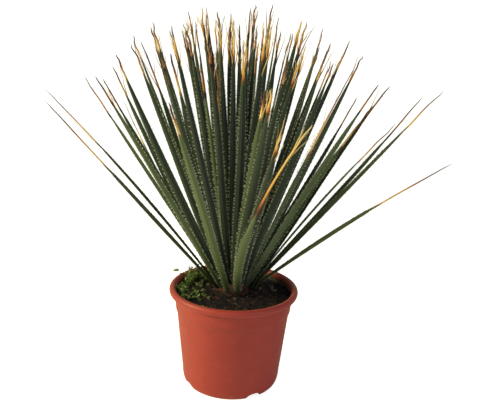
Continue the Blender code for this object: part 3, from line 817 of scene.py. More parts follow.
def leaf_points(which, t):
    """Centre, tangent, width direction and outer direction at shares t (leaves, places).

    Centre = root + t chord + t(1-t) bow + a slow sway, whose two sine waves are still at the
    ends, + 4t(1-t) stray. The tangent is its slope, and the width direction is square to it.
    """
    t = t[..., None]
    root, chord, bow, sideways, stray, across, sway = (
        values[which][:, None]
        for values in (roots, chords, bows, flat_across, strays, widthways, sways)
    )
    one, two = sway[..., :1], sway[..., 1:]
    wave = np.sin(math.pi * t) * one + np.sin(math.tau * t) * two
    slope = math.pi * np.cos(math.pi * t) * one + math.tau * np.cos(math.tau * t) * two
    centre = root + t * chord + t * (1 - t) * bow + wave * sideways + 4 * t * (1 - t) * stray
    tangent = unit(chord + (1 - 2 * t) * bow + slope * sideways + 4 * (1 - 2 * t) * stray)
    across = square_to(tangent, across)
    return centre, tangent, across, np.cross(tangent, across)


print("tips reach from", tips.min(0).round(3), "to", tips.max(0).round(3))

# %% [markdown]
# ## The blades
# A blade is a section carried along the path: keeled on its outer face, hollow on its inner
# one, and thin at both edges. It is widest a third of the way up, and narrows to a thread
# that has dried and curls. Its width, its keel and its colour numbers are all functions of
# the place along it.

# %% Width and section of a blade
LEAF_WIDTH, THREAD_START, STRIP_WIDTH, LONG_TAPER = 0.0116, 0.92, 0.0034, 0.17
WIDTH_PLACES = (0, 0.05, 0.1, 0.2, 0.3, 0.4, 0.5, 0.6, 0.7, 0.77, 0.84, 0.88, 0.92, 1)
WIDTH_SHARES = (0.72, 0.76, 0.82, 0.93, 1, 0.98, 0.93, 0.86, 0.77, 0.67, 0.51, 0.40, 0.21, 0.07)
KEEL = 0.0021
BLADE_SECTION = np.array([
    (0.5, 0.0), (0.27, 0.52), (0.08, 0.93), (0.0, 1.0), (-0.08, 0.93), (-0.27, 0.52),
    (-0.5, 0.0), (-0.3, 0.24), (0.0, 0.40), (0.3, 0.24),
])
BLADE_LIFE = np.concatenate([np.linspace(0, 0.84, 22), np.linspace(0.84, 1, 15)[1:-1]])

threads = rows[:, 4] / 100
greens = rows[:, 5] / 100
tones = (rows[:, 6] / 100) ** 1.8
# Painted light and shade in the tones: in the middle the dark leaves are made darker still and the
# pale ones paler, and the leaves at the left and right sides a little paler.
tones[central] *= np.where(tones[central] > 0.28, 1.25, 0.55)  # more contrast in the middle
tones[:len(LEFT_LEAVES)] += 0.05
tones[len(LEFT_LEAVES + MIDDLE_LEAVES):len(SEEN_LEAVES)] += 0.06
tones = np.clip(tones, 0, 1)


def life_to_share(life, thread):
    """The share of the length at this share of the leaf's life.

    Both reach the thread together, and 1 at the tip. A leaf that dries early stays
    broad for longer: its power is below 1, down to 0.6.
    """
    power = np.clip(1 - (THREAD_START - thread) / 0.3, 0.6, 1)
    blade = (life / THREAD_START) ** power * thread
    rest = thread + (life - THREAD_START) / (1 - THREAD_START) * (1 - thread)
    return np.where(life < THREAD_START, blade, rest)


def widths_at(life, breadth):
    """The blade's width: its own breadth times the share for this place in its life."""
    return LEAF_WIDTH * breadth * np.interp(life, WIDTH_PLACES, WIDTH_SHARES)


# %% Make the blades
def blades(name, which):
    """Keeled sections along each leaf's path, which shrink to the thread and end in its tip.

    The thread curls by size times way^1.5 times a wave, with way from 0 at its start to 1.
    """
    count = len(which)
    life = np.broadcast_to(BLADE_LIFE, (count, len(BLADE_LIFE)))
    thread, green = threads[which][:, None], greens[which][:, None]
    t = life_to_share(life, thread)
    centre, _, across, outer = leaf_points(which, t)
    phase = own.uniform(0, math.tau, (count, 1))
    size = own.uniform(0.0005, 0.0022, (count, 1)) * np.clip((thread - 0.66) / 0.2, 0.3, 1)
    way = np.clip((t - thread * 0.98) / (1 - thread * 0.98), 0, 1)
    angle = own.uniform(0.8, 2.2, (count, 1)) * math.tau * way + phase
    for direction, wave in ((across, np.sin(angle)), (outer, np.cos(angle * 0.8))):
        centre = centre + direction * (size * way**1.5 * wave)[..., None]
    dry = np.clip((t - green) / (1 - green), -1, 1)
    taper = LONG_TAPER * np.clip((thread - green) / 0.15, 0.1, 1)
    withered = np.clip((t - green + taper) / (taper + 0.02), 0, 1)
    withered = withered**2 * (3 - 2 * withered)
    width = widths_at(life, breadths[which][:, None])
    strip = np.minimum(width * 1.6, STRIP_WIDTH * (1 - 0.4 * np.clip(dry, 0, 1)))
    width = width * (1 - withered) + strip * withered
    keel = np.maximum(KEEL * (width / LEAF_WIDTH) ** 0.6, 0.55 * width * withered)
    run = t * lengths[which][:, None]
    return grow(
        name, "leaf", carried(centre, across, outer, width, keel, BLADE_SECTION),
        leaf_points(which, np.ones((count, 1)))[0][:, 0],
        (np.arange(count) + 0.04) / count, 0.92 / count, BLADE_LIFE, across=BLADE_SECTION[:, 0],
        along=np.column_stack([run, run[:, -1]]), dry=np.column_stack([dry, np.ones(count)]),
        tone=tones[which], mark=marks[which],
    )


ruled_leaves = len(LISTED_LEAVES) + np.arange(RULED_LEAVES)
outer_leaves = np.setdiff1d(np.arange(len(rows)), ruled_leaves)
leaf_blades = blades("leaf_blades", outer_leaves)
inner_blades = blades("inner_blades", ruled_leaves)
crease(leaf_blades, 50)
crease(inner_blades, 50)
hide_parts("rosette")

# %% [markdown]
# ## The leaf's finish
# The green part is a dark grey-green with fine lengthwise lines, paler on some leaves. A
# lighter strip along both edges is painted highlight, and the near-black of the darkest
# leaves and the darkening near the root are painted shade. Towards the tip the leaf dries in
# steps: yellow, gold, orange, a dark maroon joint, and then pale straw that weathers to grey.
# One number on the mesh, dry, says how far that has gone, and a little noise makes the
# passage ragged.

# %% Make the leaf's finish
leaf = Finish("rosette_leaf", IOR=1.38)
across, along, tone, dry, mark = map(leaf.reading, ("across", "along", "tone", "dry", "mark"))
lines = leaf.effect(LINES, Across=across, Along=along, Tone=mark, Lines=26.0)
# The lowest tone gives near-black, bluish leaves, painted shade for leaves deep in the rosette.
deep = leaf.blend(tone, (0.009, 0.016, 0.015), (0.090, 0.130, 0.052))
light = leaf.blend(tone, (0.022, 0.039, 0.029), (0.175, 0.235, 0.098))
green = leaf.blend(leaf.spread(lines["Streak"], 0.25, 0.75), deep, light)
# Painted highlight: both edges are made a lighter olive, for the edge strips that the light picks
# out.
edge = leaf.spread(leaf.calc("ABSOLUTE", across), 0.40, 0.5, 0.0, 0.55)
green = leaf.blend(edge, green, (0.21, 0.25, 0.13))
# Painted shade: the first 75 mm of each leaf, towards the crown, is darkened.
green = leaf.blend(leaf.spread(along, 0.0, 0.075, 0.72, 0.0), green, (0.010, 0.012, 0.008))
ragged = leaf.calc("ADD", dry, leaf.spread(lines["Streak"], 0.3, 0.7, -0.05, 0.05))
greying = leaf.ramp(
    ragged, (0.0, 0.26, 0.22, 0.05), (0.05, 0.30, 0.11, 0.03), (0.12, 0.92, 0.68, 0.27),
    (0.38, 0.78, 0.40, 0.11), (0.54, 0.34, 0.11, 0.035), (0.72, 0.10, 0.030, 0.028),
    (1.0, 0.12, 0.085, 0.09),
)
jointed = leaf.ramp(
    ragged, (0.0, 0.05, 0.05, 0.015), (0.04, 0.010, 0.005, 0.005), (0.13, 0.016, 0.006, 0.005),
    (0.20, 0.46, 0.19, 0.05), (0.46, 0.40, 0.17, 0.06), (0.62, 0.14, 0.055, 0.04),
    (1.0, 0.10, 0.08, 0.085),
)
tufted = leaf.ramp(
    ragged, (0.0, 0.13, 0.10, 0.03), (0.06, 0.10, 0.016, 0.008), (0.18, 0.50, 0.16, 0.045),
    (0.36, 0.74, 0.42, 0.11), (0.75, 0.80, 0.54, 0.19), (1.0, 0.62, 0.48, 0.28),
)
straw = leaf.blend(leaf.spread(mark, JOINTED - 0.01, JOINTED + 0.01), greying, jointed)
straw = leaf.blend(leaf.spread(mark, TUFTED - 0.01, TUFTED + 0.01), straw, tufted)
colour = leaf.blend(leaf.spread(ragged, -0.06, 0.02), green, straw)
rough = leaf.spread(ragged, -0.05, 0.05, 0.44, 0.72)
leaf.dress([leaf_blades, inner_blades], colour, rough, lines["Height"], 0.00025)

# %% [markdown]
# ## The teeth
# Both edges of every leaf carry small cream teeth that point out and a little forward. They
# are too many for the solids, which have a few. Each is a tiny three-cornered spike set into
# the edge, closer together near the root, and gone where the leaf turns to straw. Near the
# root they are darkened, as painted shade.

# %% Make the teeth
TEETH, TOOTH_LENGTH, TOOTH_BASE, TOOTH_INSET = 58, 0.0021, 0.0019, 0.0003
TOOTH_SECTION = ((-0.5, -0.12), (0.5, -0.12), (0.0, 0.33))
TOOTH_RINGS = ((0.0, 1.0), (0.45, 0.55))


def edge_teeth(name, which):
    """Three-cornered spikes at places 0.03 + 0.81 s^1.1 on both edges, s from 0 to 1."""
    count = len(which)
    life = 0.03 + 0.81 * ((np.arange(TEETH) + 0.5) / TEETH) ** 1.1
    life = (life + own.uniform(-0.3, 0.3, (count, 2, TEETH)) / TEETH).reshape(count, -1)
    side = np.repeat((-1.0, 1.0), TEETH)[None, :, None] * np.ones((count, 1, 1))
    t = life_to_share(life, threads[which][:, None])
    centre, tangent, across, outer = leaf_points(which, t)
    half = widths_at(life, breadths[which][:, None]) / 2 - TOOTH_INSET
    edge = centre + across * side * half[..., None]
    size = own.uniform(0.7, 1.15, side.shape) * np.clip((0.93 - life) / 0.2, 0.45, 1)[..., None]
    reach = unit(across * side + tangent * 0.55) * TOOTH_LENGTH * size
    base = (TOOTH_BASE * size)[..., 0]
    sections = np.stack([
        carried(edge + reach * out, tangent, outer, base * narrow, base * narrow, TOOTH_SECTION)
        for out, narrow in TOOTH_RINGS
    ], -3).reshape(-1, 2, 3, 3)
    flip = side.reshape(-1) > 0
    sections[flip] = sections[flip][:, :, ::-1]
    apexes = (edge + reach * 1.25 + tangent * TOOTH_BASE * size * 0.25).reshape(-1, 3)
    dry = np.clip((t - greens[which][:, None] + 0.04) / 0.08, 0, 1).reshape(-1)
    return grow(
        name, "leaf", sections, apexes, 0.02 + 0.93 * dry, 0.03, (0.05, 0.5), dry=dry,
        # low is how near the leaf's root a tooth is; there its colour gets painted shade.
        low=np.clip(1 - t / 0.22, 0, 1), way=np.tile((0.0, 0.55, 1.0), (len(dry), 1)),
    )


leaf_teeth = edge_teeth("leaf_teeth", outer_leaves)
inner_teeth = edge_teeth("inner_teeth", ruled_leaves)

tooth = Finish("leaf_tooth", Roughness=0.45)
way, dry, low = map(tooth.reading, ("way", "dry", "low"))
cream = tooth.ramp(way, (0.0, 0.12, 0.16, 0.10), (0.40, 0.78, 0.84, 0.72), (1.0, 0.80, 0.80, 0.66))
colour = tooth.blend(dry, cream, (0.42, 0.26, 0.12))
# Painted shade: teeth near the leaf's root are darkened to a dark green.
colour = tooth.blend(tooth.calc("MULTIPLY", low, 0.75), colour, (0.09, 0.11, 0.05))
tooth.dress([leaf_teeth, inner_teeth], colour)

# %% [markdown]
# ## The fibres at the tips
# A dry tip frays: fibres split from the blade, spread, and curl as they dry. The solids have
# one to three at each tip. The same ones are here as thin curling threads, with finer ones
# beside them. A thread starts along the leaf and curls more and more on its way.

# %% Make the fibres
THREAD_RINGS, THREAD_SECTION = 16, ((0.5, 0), (0, 0.5), (-0.5, 0), (0, -0.5))
FIBRE_SINK = 0.004


def frayed(name, leaves, begin, fan, rise, reach, widths, bend, curls, waves, sink=0.0):
    """Threads of these lengths that split from their leaves at begin, fanned out by two angles.

    A thread is bent by way^2 and curled by a wave that grows with way^1.6. Its width, bend,
    curl and number of waves are random within the given ranges.
    """
    count = len(leaves)
    start, forward, side, lift = (part[:, :1] for part in leaf_points(leaves, begin[:, None]))
    fan, rise = (np.tan(angle)[:, None, None] for angle in (fan, rise))
    heading = unit(forward + side * fan + lift * rise)
    some = lambda low, high: own.uniform(low, high, count)[:, None]
    width, bend = some(*widths), own.normal(0, bend, (count, 2))
    curl, waves = some(*curls), some(*waves)
    gold = np.where(marks[leaves] > TUFTED, 0.10, 0.58)
    tone, mark = np.clip(gold + own.normal(0, 0.22, count), 0, 1), own.uniform(0, 1, count)
    way = np.linspace(0, 1, THREAD_RINGS + 1)[None]
    angle = waves * math.tau * way + own.uniform(0, math.tau, (count, 1))
    off_side = bend[:, :1] * way**2 + curl * way**1.6 * np.sin(angle)
    off_lift = bend[:, 1:] * way**2 + curl * way**1.6 * np.cos(angle * 0.9)
    path = start - forward * sink + heading * (reach[:, None] * way)[..., None]
    path = path + side * off_side[..., None] + lift * off_lift[..., None]
    across, outer = facing(path, side[:, 0])
    taper = (1 - 0.75 * way) * width
    sections = carried(path, across, outer, taper, taper * 0.45, THREAD_SECTION)[:, :-1]
    return grow(
        name, "leaf", sections, path[:, -1], 0.02 + 0.9 * (np.arange(count) / count), 0.9 / count,
        way[0, :-1], across=(0.5, 0, -0.5, 0), way=way.repeat(count, 0), tone=tone, mark=mark,
    )


leaves, begin, fan, rise, share = cad_fibres.T
leaves = leaves.astype(int)
fan, rise = np.radians((fan, -rise))
reach = (1 - begin) * lengths[leaves] * share + FIBRE_SINK
split_fibres = frayed(
    "split_fibres", leaves, begin, fan, rise, reach,
    widths=(0.0013, 0.0019), bend=0.0012, curls=(0.0004, 0.0014), waves=(0.8, 2.0), sink=FIBRE_SINK,
)

# %% Make the finer fibres
MANY_FIBRES, SOME_FIBRES, OUTER_LEAN, EARLY_THREAD = 5, 2, 28, 0.80
extra = np.where(central, MANY_FIBRES, SOME_FIBRES)
extra[np.abs(rows[:, 0]) > OUTER_LEAN] = 1
extra[threads < EARLY_THREAD] = 0
leaves = np.repeat(np.arange(len(rows)), extra)
begin = threads[leaves] + own.uniform(-0.35, 0.45, len(leaves)) * (1 - threads[leaves])
fan, rise = np.radians(own.uniform(-16, 16, (2, len(leaves))))
reach = (1 - begin) * lengths[leaves] * own.uniform(0.30, 0.90, len(leaves))
fine_fibres = frayed(
    "fine_fibres", leaves, begin, fan, rise, reach,
    widths=(0.0006, 0.0013), bend=0.0022, curls=(0.0003, 0.0022), waves=(0.6, 2.4),
)

fibre = Finish("straw_fibre", Roughness=0.7)
way, tone, mark, across = map(fibre.reading, ("way", "tone", "mark", "across"))
streaks = fibre.effect(LINES, Across=across, Along=way, Tone=mark, Lines=8.0)
golden = fibre.ramp(way, (0.0, 0.42, 0.14, 0.05), (0.25, 0.80, 0.50, 0.17), (1.0, 0.84, 0.66, 0.34))
dull = fibre.ramp(way, (0.0, 0.42, 0.16, 0.05), (0.3, 0.16, 0.05, 0.03), (1.0, 0.13, 0.095, 0.09))
colour = fibre.blend(fibre.spread(tone, 0.3, 0.7), golden, dull)
paler = fibre.spread(streaks["Streak"], 0.5, 0.9, 0.0, 0.3)
colour = fibre.blend(paler, colour, (0.66, 0.50, 0.28))
fibre.dress([split_fibres, fine_fibres], colour, None, streaks["Height"], 0.0001)

# %% [markdown]
# ## The crown
# The leaves grow from a short thick crown that just shows at the soil. Its dome and its
# stem are turned as in the CAD model, and old leaf bases, cut or rotted short, stand round
# it as husks.

# %% Turn the crown and its stem
CROWN_SIDES, LUMP_HEIGHT, LUMP_SIZE = 96, 0.0012, 0.004
share = np.linspace(0, 1, 12)
fall = (CROWN_TOP_Z - CROWN_EDGE_Z) * share**CROWN_FALL
dome = np.column_stack([STEM_RADIUS * share, CROWN_TOP_Z - fall])
stem = [
    (STEM_RADIUS, SOIL_CROWN_Z), (STEM_FOOT_RADIUS, STEM_FOOT_Z + STEM_BEVEL),
    (STEM_TIP_RADIUS, STEM_FOOT_Z), (0.0, STEM_FOOT_Z),
]


def knobbly(radius, angle, height):
    """Small lumps on the dome only, so that the stem still fits its hole."""
    x, y = radius * np.cos(angle) + angle * 0.01, height + radius * np.sin(angle)
    lumps = LUMP_HEIGHT * field(x, y, LUMP_SIZE, 8)
    return radius, height + np.where(height > CROWN_EDGE_Z + 1e-4, lumps, 0.0)


crown = add_piece("crown", *turned(np.vstack([dome, finer(stem, 0.004)]), CROWN_SIDES, knobbly))
crease(crown, 50)

skin = Finish("crown_skin", Roughness=0.8)
spot = skin.position()
uneven = skin.effect(MOTTLE, Position=spot, Size=0.004)
dusty = skin.effect(DUST, Position=spot, Level=0.138, Reach=0.008)["Dust"]
colour = skin.ramp(uneven["Patches"], (0.0, 0.035, 0.011, 0.010), (1.0, 0.11, 0.036, 0.026))
colour = skin.blend(dusty, colour, (0.016, 0.011, 0.009))
skin.dress([crown], colour, None, uneven["Grain"], 0.0005)

# %% [markdown]
# ## Crumbs and bark on the soil
# Loose bits are lumps: three rings of five corners with a point, each squeezed, turned and
# coloured in its own way. They are strewn by a seeded rule over the soil, and each one rests
# on the soil's height at its place. The finishes of all small bits share one recipe.

# %% Strew lumps on the soil
LUMP_RINGS, LUMP_CORNERS = ((-0.45, 0.62), (-0.05, 1.0), (0.38, 0.66)), 5
LUMP_TIP, LUMP_SINK, LUMP_TILT = 0.6, 0.25, 0.35


def some_directions(count):
    """Random unit directions."""
    return unit(own.normal(size=(count, 3)))


def strewn(count, inner, outer, middle=0.0, fan=math.pi):
    """Places between two reaches, evenly over the area, in a fan round one azimuth."""
    reach = np.sqrt(own.uniform(inner**2, outer**2, count))
    azimuth = middle + own.uniform(-fan, fan, count)
    return reach * np.cos(azimuth), reach * np.sin(azimuth)


def lumps(name, x, y, sizes, tone, flat=0.0):
    """Irregular closed lumps of these three half sizes, sunk a little into the soil.

    A flat above 0 lays their third direction, the thinnest, near the vertical.
    """
    count = len(x)
    first = some_directions(count)
    second = unit(np.cross(first, some_directions(count)))
    third = np.cross(first, second)
    if flat:
        third = unit(UP * flat + own.normal(0, LUMP_TILT, (count, 3)) * (1 - flat))
        first = unit(np.cross(third, some_directions(count)))
        second = np.cross(third, first)
    turn = np.stack([first, second, third], -1)
    angle = np.arange(LUMP_CORNERS) * math.tau / LUMP_CORNERS
    rings = []
    for height, radius in LUMP_RINGS:
        wide = radius * own.uniform(0.75, 1.2, (count, LUMP_CORNERS))
        rings.append(np.stack([wide * np.cos(angle), wide * np.sin(angle), 0 * wide + height], -1))
    local = np.stack(rings, 1) * sizes[:, None, None]
    off_x, off_y = own.uniform(-0.2, 0.2, (2, count))
    top = np.stack([off_x, off_y, 0 * off_x + LUMP_TIP], 1) * sizes
    place = np.column_stack([x, y, soil_height(x, y) + sizes.min(1) * (LUMP_TIP - LUMP_SINK)])
    sections = np.einsum("nij,nrcj->nrci", turn, local) + place[:, None, None]
    apexes = np.einsum("nij,nj->ni", turn, top) + place
    return grow(name, "soil", sections, apexes, *by_tone(tone), (0.05, 0.35, 0.7), tone=tone)


CRUMBS, BARK_BITS = 1700, 300
x, y = strewn(CRUMBS, STEM_RADIUS + 0.002, SOIL_EDGE_RADIUS - 0.002)
sizes = own.uniform(0.0006, 0.0022, (CRUMBS, 1)) * own.uniform(0.6, 1.2, (CRUMBS, 3))
soil_crumbs = lumps("soil_crumbs", x, y, sizes, own.uniform(0, 1, CRUMBS))

x, y = strewn(BARK_BITS, STEM_RADIUS + 0.001, SOIL_EDGE_RADIUS - 0.004)
x, y = np.stack([x, y]) * (1 - own.uniform(0, 0.85, BARK_BITS))  # more bark near the crown
clear = np.hypot(x, y) > STEM_RADIUS + 0.001
x, y = x[clear], y[clear]
long = own.uniform(0.002, 0.0055, (len(x), 1))
sizes = long * np.array((1.0, 0.5, 0.28)) * own.uniform(0.7, 1.2, (len(x), 3))
bark_bits = lumps("bark_bits", x, y, sizes, own.uniform(0, 1, len(x)) ** 1.7, flat=0.8)
crease(bark_bits, 30)

# %% Make the finishes of crumbs and bark
def bit_finish(name, pieces, stops, size, patch, depth, tip=None, rough=None, **constants):
    """A colour by each bit's tone, changed towards the tip, darker in patches, and a relief."""
    finish = Finish(name, **constants)
    mottled = finish.effect(MOTTLE, Position=finish.position(), Size=size)
    colour = finish.ramp(finish.reading("tone"), *stops)
    if tip:
        span, tint = tip
        colour = finish.blend(finish.spread(finish.reading("way"), *span), colour, tint)
    share, dark = patch
    colour = finish.blend(finish.calc("MULTIPLY", mottled["Patches"], share), colour, dark)
    if rough:
        rough = finish.spread(mottled["Grain"], 0.0, 1.0, *rough)
    finish.dress(pieces, colour, rough, mottled["Grain"], depth)


bit_finish(
    "soil_crumb", [soil_crumbs],
    [
        (0.0, 0.006, 0.005, 0.009), (0.6, 0.012, 0.009, 0.015), (0.88, 0.028, 0.017, 0.021),
        (0.985, 0.09, 0.05, 0.04), (0.994, 0.30, 0.27, 0.25), (1.0, 0.40, 0.37, 0.35),
    ],
    size=0.002, patch=(0.5, (0.007, 0.006, 0.010)), depth=0.0003, Roughness=0.95,
)
bit_finish(
    "bark_bit", [bark_bits],
    [
        (0.0, 0.014, 0.008, 0.010), (0.5, 0.045, 0.014, 0.014), (0.8, 0.12, 0.034, 0.028),
        (0.93, 0.24, 0.10, 0.07), (1.0, 0.42, 0.28, 0.22),
    ],
    size=0.003, patch=(0.45, (0.016, 0.010, 0.009)), depth=0.0004, Roughness=0.85,
)

# %% [markdown]
# ## Old husks and loose root fibres
# Round the foot of the crown the bases of lost leaves remain, brown-red and papery, and
# dry rootlets lie across the soil. A husk is a short wide spike that leans out, and a
# rootlet is a thin one that wanders over the soil.

# %% Make the husks
FLAT_SECTION = ((0.5, 0.0), (0.0, 0.5), (-0.5, 0.0), (0.0, -0.35))
HUSKS = 90


def short_blades(name, base, heading, side, length, width, thick, rings, bend, tone):
    """Flat spikes of width 0.35 + 0.65 sin(pi way^0.7), which bend down by way^2.

    A measure is a number, an array, or a pair that gives the range of a random one.
    """
    count = len(base)
    length, width, thick, bend, tone = (
        own.uniform(*given, count) if isinstance(given, tuple) else given + np.zeros(count)
        for given in (length, width, thick, bend, tone)
    )
    way = np.linspace(0, 1, rings + 1)
    path = base[:, None] + heading[:, None] * (length[:, None] * way)[..., None]
    path = path - UP * (bend[:, None] * way**2)[..., None]
    across, outer = facing(path, side)
    full = (0.35 + 0.65 * np.sin(math.pi * way**0.7)) * width[:, None]
    sections = carried(path, across, outer, full, thick[:, None], FLAT_SECTION)[:, :-1]
    return grow(
        name, "leaf", sections, path[:, -1], *by_tone(tone), way[:-1],
        way=np.broadcast_to(way, (count, rings + 1)), tone=tone,
    )


azimuth = np.arange(HUSKS) * GOLDEN_ANGLE
level = own.uniform(0, 1, HUSKS)[:, None]
out = np.column_stack([np.cos(azimuth), np.sin(azimuth), 0 * azimuth])
side = np.cross(out, UP)
base = out * (STEM_RADIUS - 0.003 - 0.003 * level) + UP * (0.1375 + 0.008 * level)
tilt = own.uniform(0.3, 1.6, (HUSKS, 1))
heading = unit(out + UP * tilt + side * own.normal(0, 0.25, (HUSKS, 1)))
husks = short_blades(
    "husks", base, heading, side, length=(0.007, 0.016), width=(0.005, 0.0095),
    thick=(0.0006, 0.0012), rings=5, bend=(-0.001, 0.003), tone=(0, 1),
)

# %% Lay the rootlets
ROOTLETS, ROOTLET_RINGS, ROOTLET_SECTION = 130, 12, ((1, 0), (0, 1), (-1, 0), (0, -1))
x, y = strewn(ROOTLETS, STEM_RADIUS + 0.004, SOIL_EDGE_RADIUS - 0.012)
heading = own.uniform(0, math.tau, ROOTLETS)[:, None]
way = np.linspace(0, 1, ROOTLET_RINGS + 1)[None]
length = own.uniform(0.006, 0.022, (ROOTLETS, 1))
angle = heading + own.normal(0, 0.9, (ROOTLETS, 1)) * way
x = x[:, None] + length * way * np.cos(angle)
y = y[:, None] + length * way * np.sin(angle)
reach = np.hypot(x, y)
keep = (reach.max(1) < SOIL_EDGE_RADIUS - 0.002) & (reach.min(1) > STEM_RADIUS + 0.002)
x, y = x[keep], y[keep]
count = len(x)
arch = 0.0016 * np.sin(math.pi * way) * own.uniform(0, 1, (count, 1))
path = np.stack([x, y, soil_height(x, y) + 0.0010 + arch], -1)
tangent = unit(np.gradient(path, axis=1))
across = unit(np.cross(UP, tangent))
thick = own.uniform(0.0002, 0.0004, (count, 1)) * (1.1 - 0.5 * way)
sections = carried(path, across, np.cross(tangent, across), thick, thick, ROOTLET_SECTION)[:, :-1]
tone = own.uniform(0, 1, count)
rootlets = grow(
    "rootlets", "soil", sections, path[:, -1], *by_tone(tone), way[0, :-1],
    tone=tone, way=way.repeat(count, 0),
)

bit_finish(
    "old_husk", [husks, rootlets],
    [
        (0.0, 0.060, 0.014, 0.014), (0.5, 0.16, 0.040, 0.034), (0.8, 0.22, 0.070, 0.050),
        (1.0, 0.34, 0.20, 0.14),
    ],
    size=0.004, patch=(0.5, (0.03, 0.012, 0.009)), depth=0.0004,
    tip=((0.5, 1.0, 0.0, 0.6), (0.045, 0.016, 0.012)), Roughness=0.75,
)

# %% [markdown]
# ## Moss and seedlings
# The left side of the soil is green with moss, and seedlings of some small weed stand in it
# and lean to the light. Each seedling is a thin stem with a few pointed leaflets. A fan of
# places on the left holds most of them, and a few stand elsewhere.

# %% Grow the moss
MOSS_MIDDLE, MOSS_FAN = math.radians(176), math.radians(64)
MOSS_BLADES, MOSS_REACH_IN, TUFT_SIZE, TUFT_SHARE = 2200, 0.040, 0.008, 0.22
x, y = strewn(MOSS_BLADES, MOSS_REACH_IN, SOIL_EDGE_RADIUS - 0.001, MOSS_MIDDLE, MOSS_FAN)
tufts = field(x, y, TUFT_SIZE, 12) > TUFT_SHARE
x, y = x[tufts], y[tufts]
count = len(x)
base = np.column_stack([x, y, soil_height(x, y) - 0.0006])
heading = unit(np.column_stack([own.normal(0, 0.5, (count, 2)), np.ones(count)]))
side = unit(np.cross(heading, some_directions(count)))
moss = short_blades(
    "moss", base, heading, side, length=(0.0018, 0.0050), width=(0.0006, 0.0013),
    thick=(0.0003, 0.0006), rings=1, bend=(0, 0.001), tone=(0, 0.12),
)

# %% Grow the seedlings
def seedlings(count, inner, outer, middle, fan, tall):
    """Where stems stand in a fan on the soil, where they head, and how tall they are."""
    x, y = strewn(count, inner, outer, math.radians(middle), math.radians(fan))
    height = own.uniform(*tall, count)
    lean = np.column_stack([own.normal(0, 0.30, (count, 2)), np.ones(count)])
    return np.column_stack([x, y, soil_height(x, y) - 0.001]), unit(lean), height


groups = [
    seedlings(56, 0.046, 0.081, 184, 60, (0.003, 0.009)),
    seedlings(32, 0.074, SOIL_EDGE_RADIUS - 0.001, 172, 50, (0.006, 0.013)),
    seedlings(18, 0.052, 0.077, 130, 24, (0.012, 0.024)),
    seedlings(14, 0.064, 0.078, 154, 13, (0.022, 0.036)),
    seedlings(8, 0.040, 0.074, 60, 50, (0.004, 0.009)),
    ([(-0.077, 0.030, 0.135)], unit(np.array([(-0.36, 0.05, 1.0)])), [0.024]),
]
base, heading, height = (np.concatenate([group[k] for group in groups]) for k in range(3))
count = len(base)
side = unit(np.cross(heading, some_directions(count)))
tone = own.uniform(0, 1, count)
seedling_stems = short_blades(
    "seedling_stems", base, heading, side, length=height, width=0.0008, thick=0.0008,
    rings=3, bend=(-0.001, 0.001), tone=tone,
)

# The last leaflet is the pale broad one that hangs over the rim in the photograph.
LEAFLETS = 5
parent = np.repeat(np.arange(count), LEAFLETS)
step = np.tile(np.arange(LEAFLETS), count)
level = 0.35 + 0.65 * (step + own.uniform(0, 0.8, len(step))) / LEAFLETS
azimuth = step * GOLDEN_ANGLE + np.repeat(own.uniform(0, math.tau, count), LEAFLETS)
out = unit(np.column_stack([np.cos(azimuth), np.sin(azimuth), own.uniform(0.15, 0.9, len(step))]))
base = base[parent] + heading[parent] * (height[parent] * np.minimum(level, 1.0))[:, None]
side = unit(np.cross(out, UP))
long = own.uniform(0.0026, 0.0050, len(step))
tone = own.uniform(0.25, 1, len(step))
out[-1], long[-1], tone[-1] = unit(np.array((-1.0, -0.1, 0.15))), 0.010, 1.0
broad = long * own.uniform(0.62, 0.9, len(step))
side[-1], broad[-1] = unit(np.array((0.15, 0.30, 0.94))), 0.0046
seedling_leaflets = short_blades(
    "seedling_leaflets", base, out, side, length=long, width=broad, thick=0.0004, rings=4,
    bend=long * own.uniform(0.0, 0.45, len(step)), tone=tone,
)

# %% Make the finish of moss and seedlings
bit_finish(
    "seedling_green", [moss, seedling_stems, seedling_leaflets],
    [
        (0.0, 0.010, 0.026, 0.008), (0.18, 0.024, 0.055, 0.014), (0.45, 0.095, 0.17, 0.040),
        (0.8, 0.29, 0.39, 0.100), (1.0, 0.54, 0.58, 0.20),
    ],
    size=0.003, patch=(0.4, (0.04, 0.10, 0.016)), depth=0.0001,
    tip=((0.0, 0.5, 0.5, 0.0), (0.03, 0.07, 0.012)), rough=(0.42, 0.62), IOR=1.40,
)

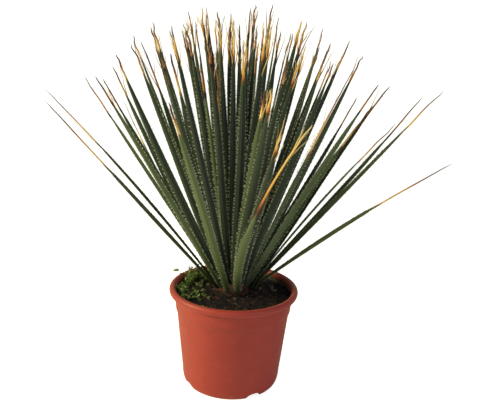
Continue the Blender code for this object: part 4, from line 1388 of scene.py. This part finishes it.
# %% [markdown]
# ## Floor and light
# The stage is a plain pale floor that rises into a round backdrop far behind the plant, so
# it closes the view from every side. A large soft light stands to the left of the camera,
# as in the photograph, where the left side of the pot and of every leaf is bright. A weak
# light on the right keeps the dark sides readable.

# %% Set the stage and the lights
FLOOR_REACH, COVE, BACKDROP = 2.2, 1.2, 3.2
edge = [(FLOOR_REACH + COVE, BACKDROP), (0.0, BACKDROP)]
cove = arc((FLOOR_REACH, COVE), COVE, COVE, -84, 0, 15)
section = np.vstack([[(0.0, 0.0)], finer([(0.3, 0.0), (FLOOR_REACH, 0.0)], 0.4), cove, edge])
points, faces, _ = turned(section, 96)
mesh = bpy.data.meshes.new("floor")
mesh.from_pydata(points.tolist(), [], [f for part in faces[:2] for f in part.tolist()])
mesh.shade_smooth()
floor = bpy.data.objects.new("floor", mesh)
bpy.context.scene.collection.objects.link(floor)

pale, white = (0.86, 0.86, 0.86, 1.0), (1.0, 1.0, 1.0, 1.0)
paper = Finish("studio_paper", Roughness=0.9, Base_Color=pale, Emission_Color=white)
seen = paper.put("LightPath").outputs["Is Camera Ray"]
glow = paper.spread(seen, 0.0, 1.0, 0.03, 0.85)
paper.join({"Emission Strength": glow}, paper.shader.inputs)
floor.data.materials.append(paper.material)


def add_light(name, place, target, size, power, colour):
    """A square soft light that looks from its place at the target."""
    light = bpy.data.lights.new(name, "AREA")
    light.size, light.energy, light.color = size, power, colour
    look = unit(np.array(target) - place)
    side = unit(np.cross(look, UP))
    aimed(name, light, place, (side, np.cross(side, look), -look))


add_light("key", (-1.82, -0.42, 1.0), (0.0, 0.0, 0.27), 0.6, 42.0, (1.0, 0.95, 0.50))
add_light("fill", (1.2, -1.4, 0.7), (0.0, 0.0, 0.25), 1.0, 6.4, (0.84, 0.85, 1.0))

world = bpy.data.worlds.new("studio")
world.use_nodes = True
sky = Network(world.node_tree)
sky.join({"Color": (0.84, 0.90, 1.0), "Strength": 0.12}, sky.tree.nodes["Background"].inputs)
bpy.context.scene.world = world
bpy.context.scene.view_settings.view_transform = "Standard"
